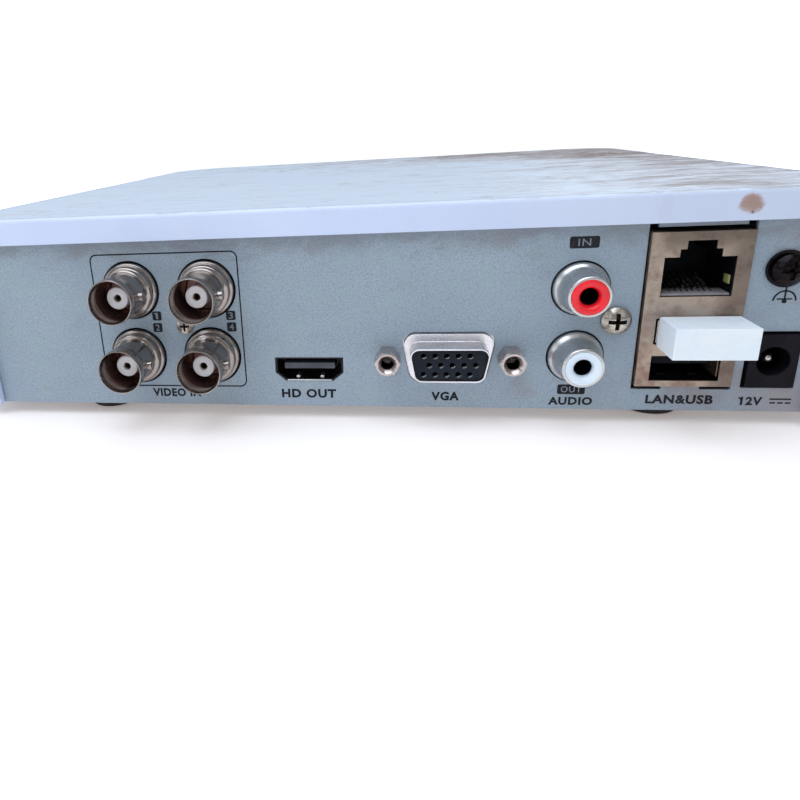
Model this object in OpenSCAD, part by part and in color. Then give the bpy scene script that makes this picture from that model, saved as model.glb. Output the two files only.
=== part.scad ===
/* [Case] */
// Width of the cover
case_w = 188.5; // [186:0.5:200]
// Depth of the cover, rear rim to front
case_d = 190; // [189:0.5:205]
// Height of the cover, without the feet
case_h = 43.7; // [43.5:0.1:48]
// Wall thickness of the cover
wall = 2.2; // [1.8:0.1:2.4]
// Corner radius at the front of the cover
front_r = 22; // [18:0.5:24]
// Corner radius at the rear of the cover
rear_r = 8; // [6:0.5:9]
// Height of the rim over the rear panel
rim_h = 5.6; // [4.5:0.1:6]
// Height of the rubber feet
foot_h = 3; // [2.5:0.1:4]
// Diameter of the rubber feet
foot_d = 12; // [9:0.5:14]

/* [Vents] */
// Columns of vent holes in each side wall
vent_cols = 16; // [8:1:18]
// Rows of vent holes in each side wall
vent_rows = 7; // [3:1:8]
// Diameter of a vent hole
vent_d = 1.9; // [1.4:0.1:2.1]
// Distance between columns in one row
vent_pitch = 5.8; // [5:0.1:6]
// Distance between rows
vent_rise = 2.7; // [2.4:0.1:3]

/* [Chassis] */
// Thickness of the steel sheet
sheet = 0.8; // [0.6:0.1:1]
// Height of the flange around the pan
flange_h = 4; // [2:0.5:5]
// Depth of the lip bent in at the top of the rear panel
lip_d = 8; // [5:1:10]

/* [Video sockets] */
// Centre of the lower left video socket across the panel
bnc_x = -50; // [-52:0.5:-48]
// Distance between video sockets across the panel
bnc_dx = 17.4; // [16.5:0.1:18]
// Distance between video sockets up the panel
bnc_dz = 15.2; // [14.8:0.1:15.6]
// Outer diameter of the bayonet barrel
bnc_d = 9.7; // [9.6:0.05:9.8]
// Reach of the barrel out of the panel
bnc_reach = 11.6; // [11:0.1:13]

/* [Monitor sockets] */
// Centre of the digital video socket across the panel
hd_x = -10.9; // [-13:0.1:-9]
// Centre of the analogue monitor socket across the panel
vga_x = 18.7; // [17:0.1:20]
// Distance between the jack-screws
jack_pitch = 24.99; // [24.9:0.01:25.1]

/* [Audio sockets] */
// Centre of the audio sockets across the panel
rca_x = 43.7; // [43:0.1:44.5]
// Distance between the two audio sockets
rca_dz = 14.1; // [13.5:0.1:14.5]
// Outer diameter of the audio socket barrel
rca_d = 8; // [7.8:0.05:8.4]
// Reach of the audio sockets out of the panel
rca_reach = 7.6; // [7:0.1:9]

/* [Network and power] */
// Centre of the network and USB block across the panel
lan_x = 64.1; // [63.5:0.1:64.5]
// Width of the network and USB block
lan_w = 17.6; // [17.2:0.1:18]
// Height of the network and USB block
lan_h = 30.8; // [30.4:0.1:31]
// Centre of the power socket across the panel
dc_x = 79.6; // [79:0.1:80]
// Diameter of the power socket's hole
dc_d = 5.8; // [5.5:0.1:6.2]
// Diameter of the power socket's pin
dc_pin_d = 2; // [1.3:0.1:2.5]

/* [Hard disk] */
// Length of the disk drive
disk_l = 147; // [146.9:0.1:147]
// Width of the disk drive
disk_w = 101.6; // [101.4:0.1:101.6]
// Height of the disk drive
disk_h = 26.1; // [25:0.1:26.1]
// Radius of a platter
platter_r = 47.5; // [46:0.1:47.5]

/* [Hidden] */
$fn = 64;

// The rear panel's outer face is y = 0 here; everything shifts so the bounding box is centred.
eps = 0.01;
rim_y = -1.8;
rim_t = 1.6;
floor_z = foot_h;
top_z = foot_h + case_h;
ceil_z = top_z - wall;
rim_z = top_z - rim_h;
half_w = case_w / 2;
front_y = rim_y + case_d;
light_proud = 0.3;
shift_y = (bnc_reach - front_y - light_proud) / 2;
open_x = half_w - 7.8;
groove_in = 1.5;
groove_w = 0.5;
groove_t = 0.35;
post_d = 8;
pilot_d = 3.1;
posts = [[-half_w + 8.7, 20.5], [half_w - 8.7, 20.5],
         [-half_w + 12.5, front_y - 15.5], [half_w - 12.5, front_y - 15.5]];
pan_top = floor_z + sheet;
pan_w = case_w - 2 * wall - 1.6;
pan_front = front_y - wall - 0.8;
panel_top = top_z - wall - 1.2;
panel_half = half_w - 7.2;
pan_rear_r = 6;
board_z = 6.8;
board_t = 1.6;
board_top = board_z + board_t;
board_back = 2;
board_front = 72;
board_half = 78.5;
tab_x = 70;
tab_end = 85;
tab_y = 15;
standoff_d = 6;
board_spots = [[-72, 10], [-72, 65], [72, 65], [30, 36]];
feet = [[-62, 10], [62, 10], [-62, 172], [62, 172]];
bnc_low = 14.9;
bnc_spots = [[bnc_x, bnc_low + bnc_dz], [bnc_x, bnc_low],
             [bnc_x + bnc_dx, bnc_low + bnc_dz], [bnc_x + bnc_dx, bnc_low]];
bnc_mid = [bnc_x + bnc_dx / 2 + 3.1, bnc_low + bnc_dz / 2 - 0.6];
bnc_base = 12.4;
bnc_recess = 4.2;
hd_z = 11.6;
vga_z = 14.5;
rca_low = 14.6;
rca_base = 10.5;
rca_bore = 6.3;
rca_hole = 11.1;
rca_screw_at = [rca_x + 7, rca_low + rca_dz / 2 + 0.5];
lan_z = 8.5;
lan_front = 0.9;
lan_deep = 20;
shield_t = 0.4;
slot_gap = 0.9;
slot_side = 0.35;
rj_low = 26.9;
rj_depth = 12;
usb_zs = [12.35, 20];
usb_w = 12.6;
usb_h = 5.2;
usb_depth = 12.5;
tongue_w = 11;
tongue_t = 1.8;
dc_z = 13.8;
dc_w = 8.6;
dc_h = 10.8;
dc_top = 19.2;
ground_at = [79.1, 31.8];
cap_w = 14.2;
cap_h = 6;
cap_reach = 8.8;
plug_w = 12;
plug_h = 4.5;
plug_l = 11;
plug_t = 0.3;
disk_y = 79.5;
disk_z = 5.2;
platter_x = -22;
pivot_x = 40;
disk_mid = disk_y + disk_w / 2;
pivot_y = disk_mid + 26;
spindle_r = 6;
pivot_r = 4;
run_gap = 0.05;

// A plate in the XY plane with its own radius at the front and rear corners.
module plate2d(w, y0, y1, rf, rr) {
    hull_pts = [[-1, y0 + rr, rr], [1, y0 + rr, rr], [-1, y1 - rf, rf], [1, y1 - rf, rf]];
    translate([-w / 2, y0 + rr]) square([w, y1 - y0 - rf - rr]);
    translate([-w / 2 + rr, y0]) square([w - 2 * rr, rr + eps]);
    translate([-w / 2 + rf, y1 - rf - eps]) square([w - 2 * rf, rf + eps]);
    for (p = hull_pts) translate([p[0] * (w / 2 - p[2]), p[1]]) circle(r = p[2]);
}

// A rectangle centred on the origin with round corners.
module soft_rect(w, h, r) {
    square([w - 2 * r, h], center = true);
    square([w, h - 2 * r], center = true);
    for (sx = [-1, 1], sy = [-1, 1])
        translate([sx * (w / 2 - r), sy * (h / 2 - r)]) circle(r = r);
}

// Turns a flat outline in X and Z into a solid from y0 to y1.
module along_y(y0, y1) {
    translate([0, y1, 0]) rotate([90, 0, 0]) linear_extrude(y1 - y0) children();
}

// A cylinder along Y between y0 and y1.
module rod_y(d, y0, y1, x = 0, z = 0, d2 = undef, n = 64) {
    translate([x, y1, z]) rotate([90, 0, 0])
        cylinder(d1 = is_undef(d2) ? d : d2, d2 = d, h = y1 - y0, $fn = n);
}

// A box given by its low and high corners.
module span(a, b) { translate(a) cube(b - a); }

// A domed screw along +Z from its seat, with a cross recess; the head is below the seat.
module pan_screw(head_d, head_h, shank_d, length) {
    dome = head_h * 0.62;
    dome_r = (head_d * head_d / 4 + dome * dome) / (2 * dome);
    difference() {
        intersection() {
            translate([0, 0, -head_h]) cylinder(d = head_d, h = head_h);
            translate([0, 0, dome_r - head_h]) sphere(r = dome_r);
        }
        for (a = [0, 90]) rotate([0, 0, a])
            translate([-head_d * 0.3, -head_d * 0.07, -head_h - eps])
                cube([head_d * 0.6, head_d * 0.14, head_h * 0.55]);
    }
    translate([0, 0, -eps]) cylinder(d = shank_d, h = length + eps);
}

// The same screw driven into the panel from outside.
module panel_screw(at, head_d, head_h, shank_d, length, seat = 0) {
    translate([at[0], seat, at[1]]) rotate([-90, 0, 0]) pan_screw(head_d, head_h, shank_d, length);
}

// Outline of the wide-top D shape used by the monitor socket.
module d_shape(w, h, r) {
    tuck = (h - 2 * r) * 0.2;
    hull() {
        for (s = [-1, 1]) {
            translate([s * (w / 2 - r), h / 2 - r]) circle(r = r, $fn = 24);
            translate([s * (w / 2 - r - tuck), -h / 2 + r]) circle(r = r, $fn = 24);
        }
    }
}

// Outline of the digital socket: the two lower corners are cut.
module hd_shape(w, h) {
    rise = h * 0.36;
    tuck = h * 0.42;
    polygon([[-w / 2, h / 2], [w / 2, h / 2], [w / 2, -h / 2 + rise], [w / 2 - tuck, -h / 2],
             [-w / 2 + tuck, -h / 2], [-w / 2, -h / 2 + rise]]);
}

// Outline of the network plug's opening, standing on its lower edge.
module rj_shape(grow = 0) {
    translate([-6.2 - grow, -grow]) square([12.4 + 2 * grow, 7.6 + 2 * grow]);
    translate([-3.6 - grow, 0]) square([7.2 + 2 * grow, 9.1 + grow]);
    translate([-2.5 - grow, 0]) square([5 + 2 * grow, 10.7 + grow]);
}

module vents() {
    start_y = front_y / 2 - (vent_cols - 1) * vent_pitch / 2;
    for (r = [0:vent_rows - 1], c = [0:vent_cols - 1])
        translate([0, start_y + c * vent_pitch + (r % 2) * vent_pitch / 2, 18 + r * vent_rise])
            rotate([0, 90, 0]) cylinder(d = vent_d, h = case_w + 2, center = true, $fn = 16);
}

module top_cover() {
    color("white") difference() {
        union() {
            difference() {
                translate([0, 0, floor_z]) linear_extrude(case_h)
                    plate2d(case_w, rim_y, front_y, front_r, rear_r);
                translate([0, 0, floor_z - 1]) linear_extrude(ceil_z - floor_z + 1)
                    plate2d(case_w - 2 * wall, rim_y + rim_t, front_y - wall, front_r - wall, rear_r - wall);
            }
            for (p = posts) translate([p[0], p[1], pan_top + 0.2])
                cylinder(d = post_d, h = ceil_z - pan_top);
        }
        span([-open_x, rim_y - 1, floor_z - 1], [open_x, rim_y + rim_t + 0.5, rim_z]);
        translate([0, 0, top_z - groove_t]) linear_extrude(1) difference() {
            plate2d(case_w - 2 * groove_in, rim_y + groove_in, front_y - groove_in,
                    front_r - groove_in, rear_r - groove_in);
            plate2d(case_w - 2 * groove_in - 2 * groove_w, rim_y + groove_in + groove_w,
                    front_y - groove_in - groove_w, front_r - groove_in - groove_w,
                    rear_r - groove_in - groove_w);
        }
        vents();
        for (p = posts) translate([p[0], p[1], floor_z]) cylinder(d = pilot_d, h = 14);
        span([50, front_y - wall - 1, 18.8], [66, front_y + 1, 21.2]);
    }
}

module panel_cuts() {
    for (p = bnc_spots) rod_y(bnc_base + 0.8, -1, sheet + 1, p[0], p[1]);
    for (z = [rca_low, rca_low + rca_dz]) rod_y(rca_hole, -1, sheet + 1, rca_x, z);
    rod_y(2.6, -1, sheet + 1, bnc_mid[0], bnc_mid[1]);
    rod_y(3.2, -1, sheet + 1, rca_screw_at[0], rca_screw_at[1]);
    rod_y(3.2, -1, sheet + 1, ground_at[0], ground_at[1]);
    for (s = [-1, 1]) rod_y(3.6, -1, sheet + 1, vga_x + s * jack_pitch / 2, vga_z);
    along_y(-1, sheet + 1) {
        translate([hd_x, hd_z]) hd_shape(15.1, 5.6);
        translate([vga_x, vga_z]) d_shape(18.8, 11, 2.6);
        translate([lan_x - lan_w / 2 - slot_side, lan_z - 0.05])
            square([lan_w + 2 * slot_side, lan_h + slot_gap]);
        for (s = [-1, 1]) translate([lan_x + s * (lan_w / 2 + slot_side - 0.8) - 0.8, lan_z + lan_h])
            square([1.6, 2.6]);
        for (s = [-1, 1]) translate([lan_x + s * (lan_w / 2 + slot_side - 2.8) - 2.8, lan_z - slot_gap])
            square([5.6, 2]);
        translate([dc_x - dc_w / 2 - 0.4, dc_top - dc_h - 0.4]) square([dc_w + 0.8, dc_h + 0.8]);
    }
}

module chassis() {
    color("slategray") difference() {
        union() {
            difference() {
                translate([0, 0, floor_z]) linear_extrude(flange_h)
                    plate2d(pan_w, 0, pan_front, front_r - 3, pan_rear_r);
                translate([0, 0, pan_top]) linear_extrude(flange_h)
                    plate2d(pan_w - 2 * sheet, sheet, pan_front - sheet, front_r - 3 - sheet,
                            pan_rear_r - sheet);
            }
            span([-panel_half, 0, floor_z], [panel_half, sheet, panel_top]);
            span([-panel_half, 0, panel_top - sheet], [panel_half, lip_d, panel_top]);
            for (p = board_spots) translate([p[0], p[1], pan_top - eps])
                cylinder(d = standoff_d, h = board_z - pan_top + eps);
            for (x = [-47.6, 47.6], y = [-20, 20]) translate([x, disk_mid + y, pan_top - eps])
                cylinder(d = 9, h = disk_z - pan_top + eps);
        }
        panel_cuts();
        for (p = board_spots) translate([p[0], p[1], floor_z - 1]) cylinder(d = 2.8, h = 6);
        for (p = posts) translate([p[0], p[1], floor_z - 1]) cylinder(d = 3.6, h = 3);
        for (x = [-47.6, 47.6], y = [-20, 20]) translate([x, disk_mid + y, floor_z - 1])
            cylinder(d = 3.4, h = 6);
    }
}

module foot(i) {
    color("dimgray") translate([feet[i - 1][0], feet[i - 1][1], 0])
        cylinder(d1 = foot_d - 1, d2 = foot_d, h = foot_h);
}

module cover_screws() {
    color("silver") for (p = posts) translate([p[0], p[1], floor_z]) pan_screw(6, 1.9, 2.5, 11);
}

module bnc_housing() {
    color("black") difference() {
        span([bnc_x - 7.8, 1, board_top], [bnc_x + bnc_dx + 7.8, 15, bnc_low + bnc_dz + 7.6]);
        for (p = bnc_spots) rod_y(bnc_base + 0.2, 0, 12.01, p[0], p[1]);
        rod_y(2.1, 0, 12, bnc_mid[0], bnc_mid[1]);
    }
}

module bnc_shell(i) {
    p = bnc_spots[i - 1];
    color("silver") difference() {
        union() {
            rod_y(bnc_base, -0.9, 12, p[0], p[1]);
            rod_y(11.2, -2.6, 0, p[0], p[1]);
            rod_y(bnc_d - 0.5, -bnc_reach + 2.4, 0, p[0], p[1]);
            rod_y(bnc_d, -bnc_reach, -bnc_reach + 2.6, p[0], p[1]);
            translate([p[0], -bnc_reach + 5.2, p[1]]) rotate([0, 90, 0])
                cylinder(d = 2, h = 11.1, center = true, $fn = 32);
        }
        rod_y(8.2, -bnc_reach - 1, -1.4, p[0], p[1]);
        rod_y(5, -2, 10, p[0], p[1]);
    }
}

module bnc_insulator(i) {
    p = bnc_spots[i - 1];
    color("ivory") difference() {
        union() {
            rod_y(5, -1.4, 9.9, p[0], p[1]);
            rod_y(4.8, -bnc_reach + bnc_recess, -1.3, p[0], p[1]);
        }
        rod_y(2.2, -bnc_reach, 11, p[0], p[1]);
    }
}

module bnc_contact(i) {
    p = bnc_spots[i - 1];
    color("goldenrod") difference() {
        rod_y(2.2, -bnc_reach + bnc_recess + 0.4, 9.8, p[0], p[1]);
        rod_y(1.35, -bnc_reach, -2, p[0], p[1]);
    }
}

module bnc_screw() { color("silver") panel_screw(bnc_mid, 3.8, 1, 2, 8); }

module hd_shell() {
    color("silver") translate([hd_x, 0, hd_z]) difference() {
        along_y(0.35, 11) hd_shape(15, 5.5);
        along_y(-1, 10.4) hd_shape(14.2, 4.7);
    }
}

module hd_tongue() {
    color("black") translate([hd_x, 0, hd_z]) {
        span([-5.6, 1.2, -0.2], [5.6, 8.5, 1.2]);
        along_y(8, 10.4) hd_shape(14.1, 4.6);
    }
}

module vga_shell() {
    color("silver") translate([vga_x, 0, vga_z]) difference() {
        union() {
            along_y(sheet, sheet + 1) soft_rect(30.8, 12.5, 1);
            along_y(-0.7, sheet + eps) d_shape(18.2, 10.4, 2.4);
            along_y(-5.9, 0) d_shape(15.7, 7.2, 1.85);
        }
        along_y(-6.5, 3) d_shape(15.1, 6.6, 1.55);
        for (s = [-1, 1]) rod_y(3.3, 0, 3, s * jack_pitch / 2, 0);
    }
}

module vga_insert() {
    hole_dx = 2.29;
    hole_dz = 1.98;
    color("black") translate([vga_x, 0, vga_z]) difference() {
        union() {
            along_y(-5.4, sheet + 1) d_shape(14.9, 6.3, 1.4);
            span([-15.4, sheet + 1, board_top - vga_z], [15.4, 12, 6.2]);
        }
        for (r = [-1:1], c = [-2:2])
            rod_y(1.1, -6, 1, (c + (r == 0 ? 0.25 : -0.25)) * hole_dx, r * hole_dz, n = 20);
        for (s = [-1, 1]) rod_y(3.1, 0, 9, s * jack_pitch / 2, 0);
    }
}

module vga_jackscrews() {
    color("silver") for (s = [-1, 1]) difference() {
        union() {
            rod_y(5.4, -4.7, 0, vga_x + s * jack_pitch / 2, vga_z, n = 6);
            rod_y(4.7, -5.3, -4.6, vga_x + s * jack_pitch / 2, vga_z);
            rod_y(3, -eps, 7, vga_x + s * jack_pitch / 2, vga_z);
        }
        rod_y(2.5, -6, 0.6, vga_x + s * jack_pitch / 2, vga_z);
        rod_y(3.9, -5.31, -4.5, vga_x + s * jack_pitch / 2, vga_z, d2 = 2.5);
    }
}

module rca_shell(z) {
    color("silver") difference() {
        union() {
            rod_y(rca_base, -1.2, 3, rca_x, z);
            rod_y(rca_d, -2.6, -1.2 + eps, rca_x, z, d2 = rca_base - 0.6);
            rod_y(rca_d, -rca_reach, -2.5, rca_x, z);
        }
        rod_y(rca_bore, -rca_reach - 1, 4, rca_x, z);
    }
}

module rca_ring(z, tint) {
    color(tint) difference() {
        rod_y(rca_bore, -rca_reach - 0.3, 3, rca_x, z);
        rod_y(3.3, -rca_reach - 1, 4, rca_x, z);
    }
}

module rca_housing() {
    color("black") difference() {
        span([rca_x - 6.2, 1, board_top], [rca_x + 9, 14, rca_low + rca_dz + 6.6]);
        for (z = [rca_low, rca_low + rca_dz]) rod_y(rca_base, 0, 3, rca_x, z);
        for (z = [rca_low, rca_low + rca_dz]) rod_y(3.3, 0, 10, rca_x, z);
        rod_y(2.9, 0, 11, rca_screw_at[0], rca_screw_at[1]);
    }
}

module rca_screw() { color("silver") panel_screw(rca_screw_at, 5.6, 1.9, 2.8, 8); }

module usb_mouths(y0, y1, grow = 0) {
    for (z = usb_zs) along_y(y0, y1)
        translate([lan_x - usb_w / 2 - grow, z - usb_h / 2 - grow])
            square([usb_w + 2 * grow, usb_h + 2 * grow]);
}

module lan_shield() {
    color("tan") difference() {
        span([lan_x - lan_w / 2, -lan_front, lan_z], [lan_x + lan_w / 2, lan_deep, lan_z + lan_h]);
        span([lan_x - lan_w / 2 + shield_t, -lan_front + shield_t, lan_z - 1],
             [lan_x + lan_w / 2 - shield_t, lan_deep - shield_t, lan_z + lan_h - shield_t]);
        usb_mouths(-2, 1);
        along_y(-2, 1) translate([lan_x, rj_low]) rj_shape();
    }
}

module lan_insert() {
    block_w = lan_w - 2 * shield_t - 0.1;
    color("black") difference() {
        span([lan_x - block_w / 2, -lan_front + shield_t, 25.2],
             [lan_x + block_w / 2, 18, lan_z + lan_h - shield_t - 0.05]);
        along_y(-2, rj_depth) translate([lan_x, rj_low]) rj_shape(0.05);
    }
}

module lan_contacts() {
    color("gold") for (i = [-3.5:1:3.5])
        translate([lan_x + i * 1.02, 1.2, rj_low + 0.15]) rotate([12, 0, 0])
            translate([-0.18, 0, 0]) cube([0.36, 9, 0.3]);
}

module usb_core() {
    block_w = lan_w - 2 * shield_t - 0.1;
    color("black") {
        difference() {
            span([lan_x - block_w / 2, -lan_front + shield_t, lan_z], [lan_x + block_w / 2, 18, 25.1]);
            usb_mouths(-2, usb_depth, 0.02);
        }
        for (z = usb_zs) span([lan_x - tongue_w / 2, 1.4, z + 0.25],
                              [lan_x + tongue_w / 2, usb_depth + 1, z + 0.25 + tongue_t]);
    }
}

module dc_body() {
    color("black") difference() {
        span([dc_x - dc_w / 2, -0.8, dc_top - dc_h], [dc_x + dc_w / 2, 13.2, dc_top]);
        rod_y(dc_d, -1, 9, dc_x, dc_z);
        rod_y(dc_pin_d + 1, 8, 11, dc_x, dc_z);
    }
}

module dc_pin() {
    color("silver") {
        rod_y(dc_pin_d, -0.3, 9, dc_x, dc_z);
        rod_y(dc_pin_d + 1, 9, 11, dc_x, dc_z);
    }
}

module ground_screw() { color("black") panel_screw(ground_at, 5.8, 2.2, 2.9, 6, -0.7); }

module ground_washer() {
    color("dimgray") difference() {
        rod_y(7, -0.7, 0, ground_at[0], ground_at[1]);
        rod_y(3.2, -1, 1, ground_at[0], ground_at[1]);
    }
}

module dongle_cap() {
    z = usb_zs[1];
    color("white") translate([lan_x + 1.3, 0, z]) {
        span([-cap_w / 2, -lan_front - cap_reach, -cap_h / 2 + 0.05],
             [cap_w / 2, -lan_front - 0.2, cap_h / 2 + 0.05]);
        span([-1.3 - plug_w / 2 + 0.4, -lan_front - 0.3, -plug_h / 2 + plug_t],
             [-1.3 + plug_w / 2 - 0.4, plug_l - 1.5, -0.15]);
    }
}

module dongle_plug() {
    z = usb_zs[1];
    color("silver") translate([lan_x, 0, z]) difference() {
        span([-plug_w / 2, -lan_front - 0.2, -plug_h / 2], [plug_w / 2, plug_l - 0.2, plug_h / 2]);
        span([-plug_w / 2 + plug_t, -2, -plug_h / 2 + plug_t],
             [plug_w / 2 - plug_t, plug_l + 1, plug_h / 2 - plug_t + 0.12]);
    }
}

module main_board() {
    color("darkgreen") difference() {
        union() {
            span([-board_half, board_back, board_z], [board_half, board_front, board_top]);
            span([tab_x, board_back, board_z], [tab_end, tab_y, board_top]);
        }
        for (p = board_spots) translate([p[0], p[1], board_z - 1]) cylinder(d = 3.4, h = 4);
        for (p = posts) translate([p[0], p[1], board_z - 1]) cylinder(d = post_d + 1.2, h = 4);
    }
}

module board_screws() {
    color("silver") for (p = board_spots) translate([p[0], p[1], board_top])
        rotate([180, 0, 0]) pan_screw(5.4, 1.8, 2.6, 4.5);
}

module chip(x, y, w, d, h, tint) { color(tint) span([x, y, board_top], [x + w, y + d, board_top + h]); }

module heatsink() {
    base_z = board_top + 1.4;
    color("silver") translate([-14, 34, base_z]) {
        cube([28, 28, 2]);
        for (i = [0:6]) translate([i * 4.45, 0, 2 - eps]) cube([1.3, 28, 8 + eps]);
    }
}

module capacitor() {
    color("midnightblue") translate([62, 32, board_top]) cylinder(d = 10, h = 16);
}

module coin_cell() {
    color("silver") translate([-52, 36, board_top + 1.6]) cylinder(d = 20, h = 3.2);
}

module cell_holder() {
    color("black") translate([-52, 36, board_top]) difference() {
        cylinder(d = 23, h = 4);
        translate([0, 0, 1.6]) cylinder(d = 20.2, h = 4);
        translate([6, -4, -1]) cube([8, 8, 8]);
    }
}

module buzzer() {
    color("black") translate([-36, 60, board_top]) difference() {
        cylinder(d = 12, h = 8.5);
        translate([0, 0, 7]) cylinder(d = 2.2, h = 3);
    }
}

module disk_socket() {
    color("black") {
        span([66, 44, board_top], [78, 49, board_top + 8]);
        span([66, 54, board_top], [78, 60, board_top + 9]);
    }
}

module light_guide() {
    color("lightgray") {
        span([50.1, front_y - wall - 0.2, 18.9], [65.9, front_y + light_proud, 21.1]);
        span([47, front_y - wall - 1.5, 17.5], [69, front_y - wall, 22.5]);
    }
}

module disk_base() {
    inner = 4;
    color("silver") difference() {
        span([-disk_l / 2, disk_y, disk_z], [disk_l / 2, disk_y + disk_w, disk_z + disk_h - 1.2]);
        difference() {
            union() {
                translate([platter_x, disk_mid, disk_z + 9]) cylinder(r = platter_r + 1.2, h = disk_h);
                span([-5, disk_y + inner, disk_z + 9],
                     [disk_l / 2 - inner, disk_y + disk_w - inner, disk_z + disk_h]);
            }
            translate([platter_x, disk_mid, disk_z]) cylinder(r = spindle_r, h = 20);
            translate([pivot_x, pivot_y, disk_z]) cylinder(r = pivot_r, h = 20);
        }
        for (x = [-47.6, 47.6], y = [-20, 20]) translate([x, disk_mid + y, disk_z - 1])
            cylinder(d = 3, h = 5);
        span([disk_l / 2 - 3, disk_y + 14, disk_z - 1], [disk_l / 2 + 1, disk_y + 56, disk_z + 10.2]);
    }
}

module disk_lid() {
    color("gainsboro") translate([0, 0, disk_z + disk_h - 1.2])
        linear_extrude(1.2) translate([0, disk_mid]) soft_rect(disk_l, disk_w, 4);
}

module disk_platters() {
    base = disk_z + 9.5;
    color("silver") translate([platter_x, disk_mid, base]) difference() {
        union() {
            cylinder(r = 14, h = 12);
            for (z = [2, 8]) translate([0, 0, z]) cylinder(r = platter_r, h = 1.3);
        }
        translate([0, 0, -1]) cylinder(r = spindle_r + run_gap, h = 20);
    }
}

module disk_actuator() {
    base = disk_z + 9.5;
    reach = 40;
    parked = 250;
    color("silver") translate([pivot_x, pivot_y, base]) difference() {
        union() {
            cylinder(r = 8, h = 12);
            for (z = [0.2, 5.3, 10.6]) rotate([0, 0, parked]) translate([5, -2.5, z]) cube([reach, 5, 1.2]);
            rotate([0, 0, parked - 180]) translate([0, -7, 3]) cube([17, 14, 6]);
        }
        translate([0, 0, -1]) cylinder(r = pivot_r + run_gap, h = 20);
    }
}

module disk_screws() {
    color("silver") for (x = [-47.6, 47.6], y = [-20, 20])
        translate([x, disk_mid + y, floor_z]) pan_screw(5.6, 1.8, 2.9, 5.5);
}

// A flat cable standing on edge: out of the disk, along the side and into the board socket.
module side_cable(y_disk, y_board, run_x, thick, tall, z0) {
    end_x = disk_l / 2;
    color("firebrick") translate([0, 0, z0]) {
        span([end_x - 2.6, y_disk - 6, -0.5], [end_x + 4, y_disk + 6, tall + 0.5]);
        span([end_x + 3, y_disk - 1, 0], [run_x, y_disk + 1, tall]);
        span([run_x - thick, y_board - 1, 0], [run_x, y_disk + 1, tall]);
        span([78, y_board - 1, 0], [run_x, y_board + 1, tall]);
    }
}

module data_cable() { side_cable(disk_y + 22, 57, 83.5, 1.6, 5, board_top + 1); }

module power_cable() { side_cable(disk_y + 44, 46.5, 87.5, 2.2, 5, board_top + 1); }

translate([0, shift_y, 0]) {
    top_cover();
    chassis();
    for (i = [1:4]) foot(i);
    cover_screws();
    bnc_housing();
    for (i = [1:4]) bnc_shell(i);
    for (i = [1:4]) bnc_insulator(i);
    for (i = [1:4]) bnc_contact(i);
    bnc_screw();
    hd_shell();
    hd_tongue();
    vga_shell();
    vga_insert();
    vga_jackscrews();
    rca_shell(rca_low + rca_dz);  // rca_shell_in
    rca_shell(rca_low);  // rca_shell_out
    rca_ring(rca_low + rca_dz, "red");  // rca_ring_in
    rca_ring(rca_low, "white");  // rca_ring_out
    rca_housing();
    rca_screw();
    lan_shield();
    lan_insert();
    lan_contacts();
    usb_core();
    dc_body();
    dc_pin();
    ground_screw();
    ground_washer();
    dongle_cap();
    dongle_plug();
    main_board();
    board_screws();
    chip(-10, 38, 20, 20, 1.4, "black");  // processor
    heatsink();
    chip(18, 44, 9, 13, 1, "black");  // memory_chip
    capacitor();
    coin_cell();
    cell_holder();
    buzzer();
    disk_socket();
    light_guide();
    disk_base();
    disk_lid();
    disk_platters();
    disk_actuator();
    disk_screws();
    data_cable();
    power_cable();
}
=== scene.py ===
"""A small four-channel video recorder in a white cover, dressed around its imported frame."""

import logging
import math
import random
from dataclasses import dataclass
from enum import Enum
from typing import Any, Callable, Iterable, Mapping, Optional, Sequence, Union

import bmesh
import bpy
from mathutils import Matrix, Vector


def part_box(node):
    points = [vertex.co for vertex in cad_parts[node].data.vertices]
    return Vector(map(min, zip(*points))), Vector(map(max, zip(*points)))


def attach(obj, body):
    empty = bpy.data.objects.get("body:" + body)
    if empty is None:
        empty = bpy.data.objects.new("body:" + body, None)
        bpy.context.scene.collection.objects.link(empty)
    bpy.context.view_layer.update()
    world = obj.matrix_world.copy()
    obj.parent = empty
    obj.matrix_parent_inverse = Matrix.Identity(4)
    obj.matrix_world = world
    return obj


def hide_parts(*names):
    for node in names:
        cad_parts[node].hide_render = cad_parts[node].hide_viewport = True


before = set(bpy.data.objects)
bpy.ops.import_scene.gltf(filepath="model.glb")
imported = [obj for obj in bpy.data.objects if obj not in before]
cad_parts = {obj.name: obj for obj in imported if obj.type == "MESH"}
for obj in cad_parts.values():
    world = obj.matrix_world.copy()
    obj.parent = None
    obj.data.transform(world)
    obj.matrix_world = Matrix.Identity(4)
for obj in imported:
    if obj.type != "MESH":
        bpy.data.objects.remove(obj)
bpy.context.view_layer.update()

LOG = logging.getLogger("recorder")
MM = 0.001
TURN = 2 * math.pi
MERGE = 1e-4
SHADE_ANGLE = 34
FOUR = range(1, 5)
OUT = Vector((0, -1, 0))
SIDE = Vector((1, 0, 0))
UP = Vector((0, 0, 1))
Shape = bmesh.types.BMesh
Edge = bmesh.types.BMEdge
Material = bpy.types.Material
Colour = tuple[float, float, float]
Point = tuple[float, float]


class Body(Enum):
    """The bodies of the frame that a piece can ride on."""

    BASE = "base"
    COVER = "cover"
    DONGLE = "dongle"
    PLATTERS = "platters"
    ACTUATOR = "actuator"


def paint(red: int, green: int, blue: int) -> Colour:
    """Turns a paint-chart colour into linear light.

    Args:
        red: Red, 0 to 255.
        green: Green, 0 to 255.
        blue: Blue, 0 to 255.

    Returns:
        The same colour in linear light, 0 to 1.
    """
    return tuple(
        c / 255 / 12.92 if c <= 10 else ((c / 255 + 0.055) / 1.055) ** 2.4
        for c in (red, green, blue)
    )


# ---------------------------------------------------------------- shader maths


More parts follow.
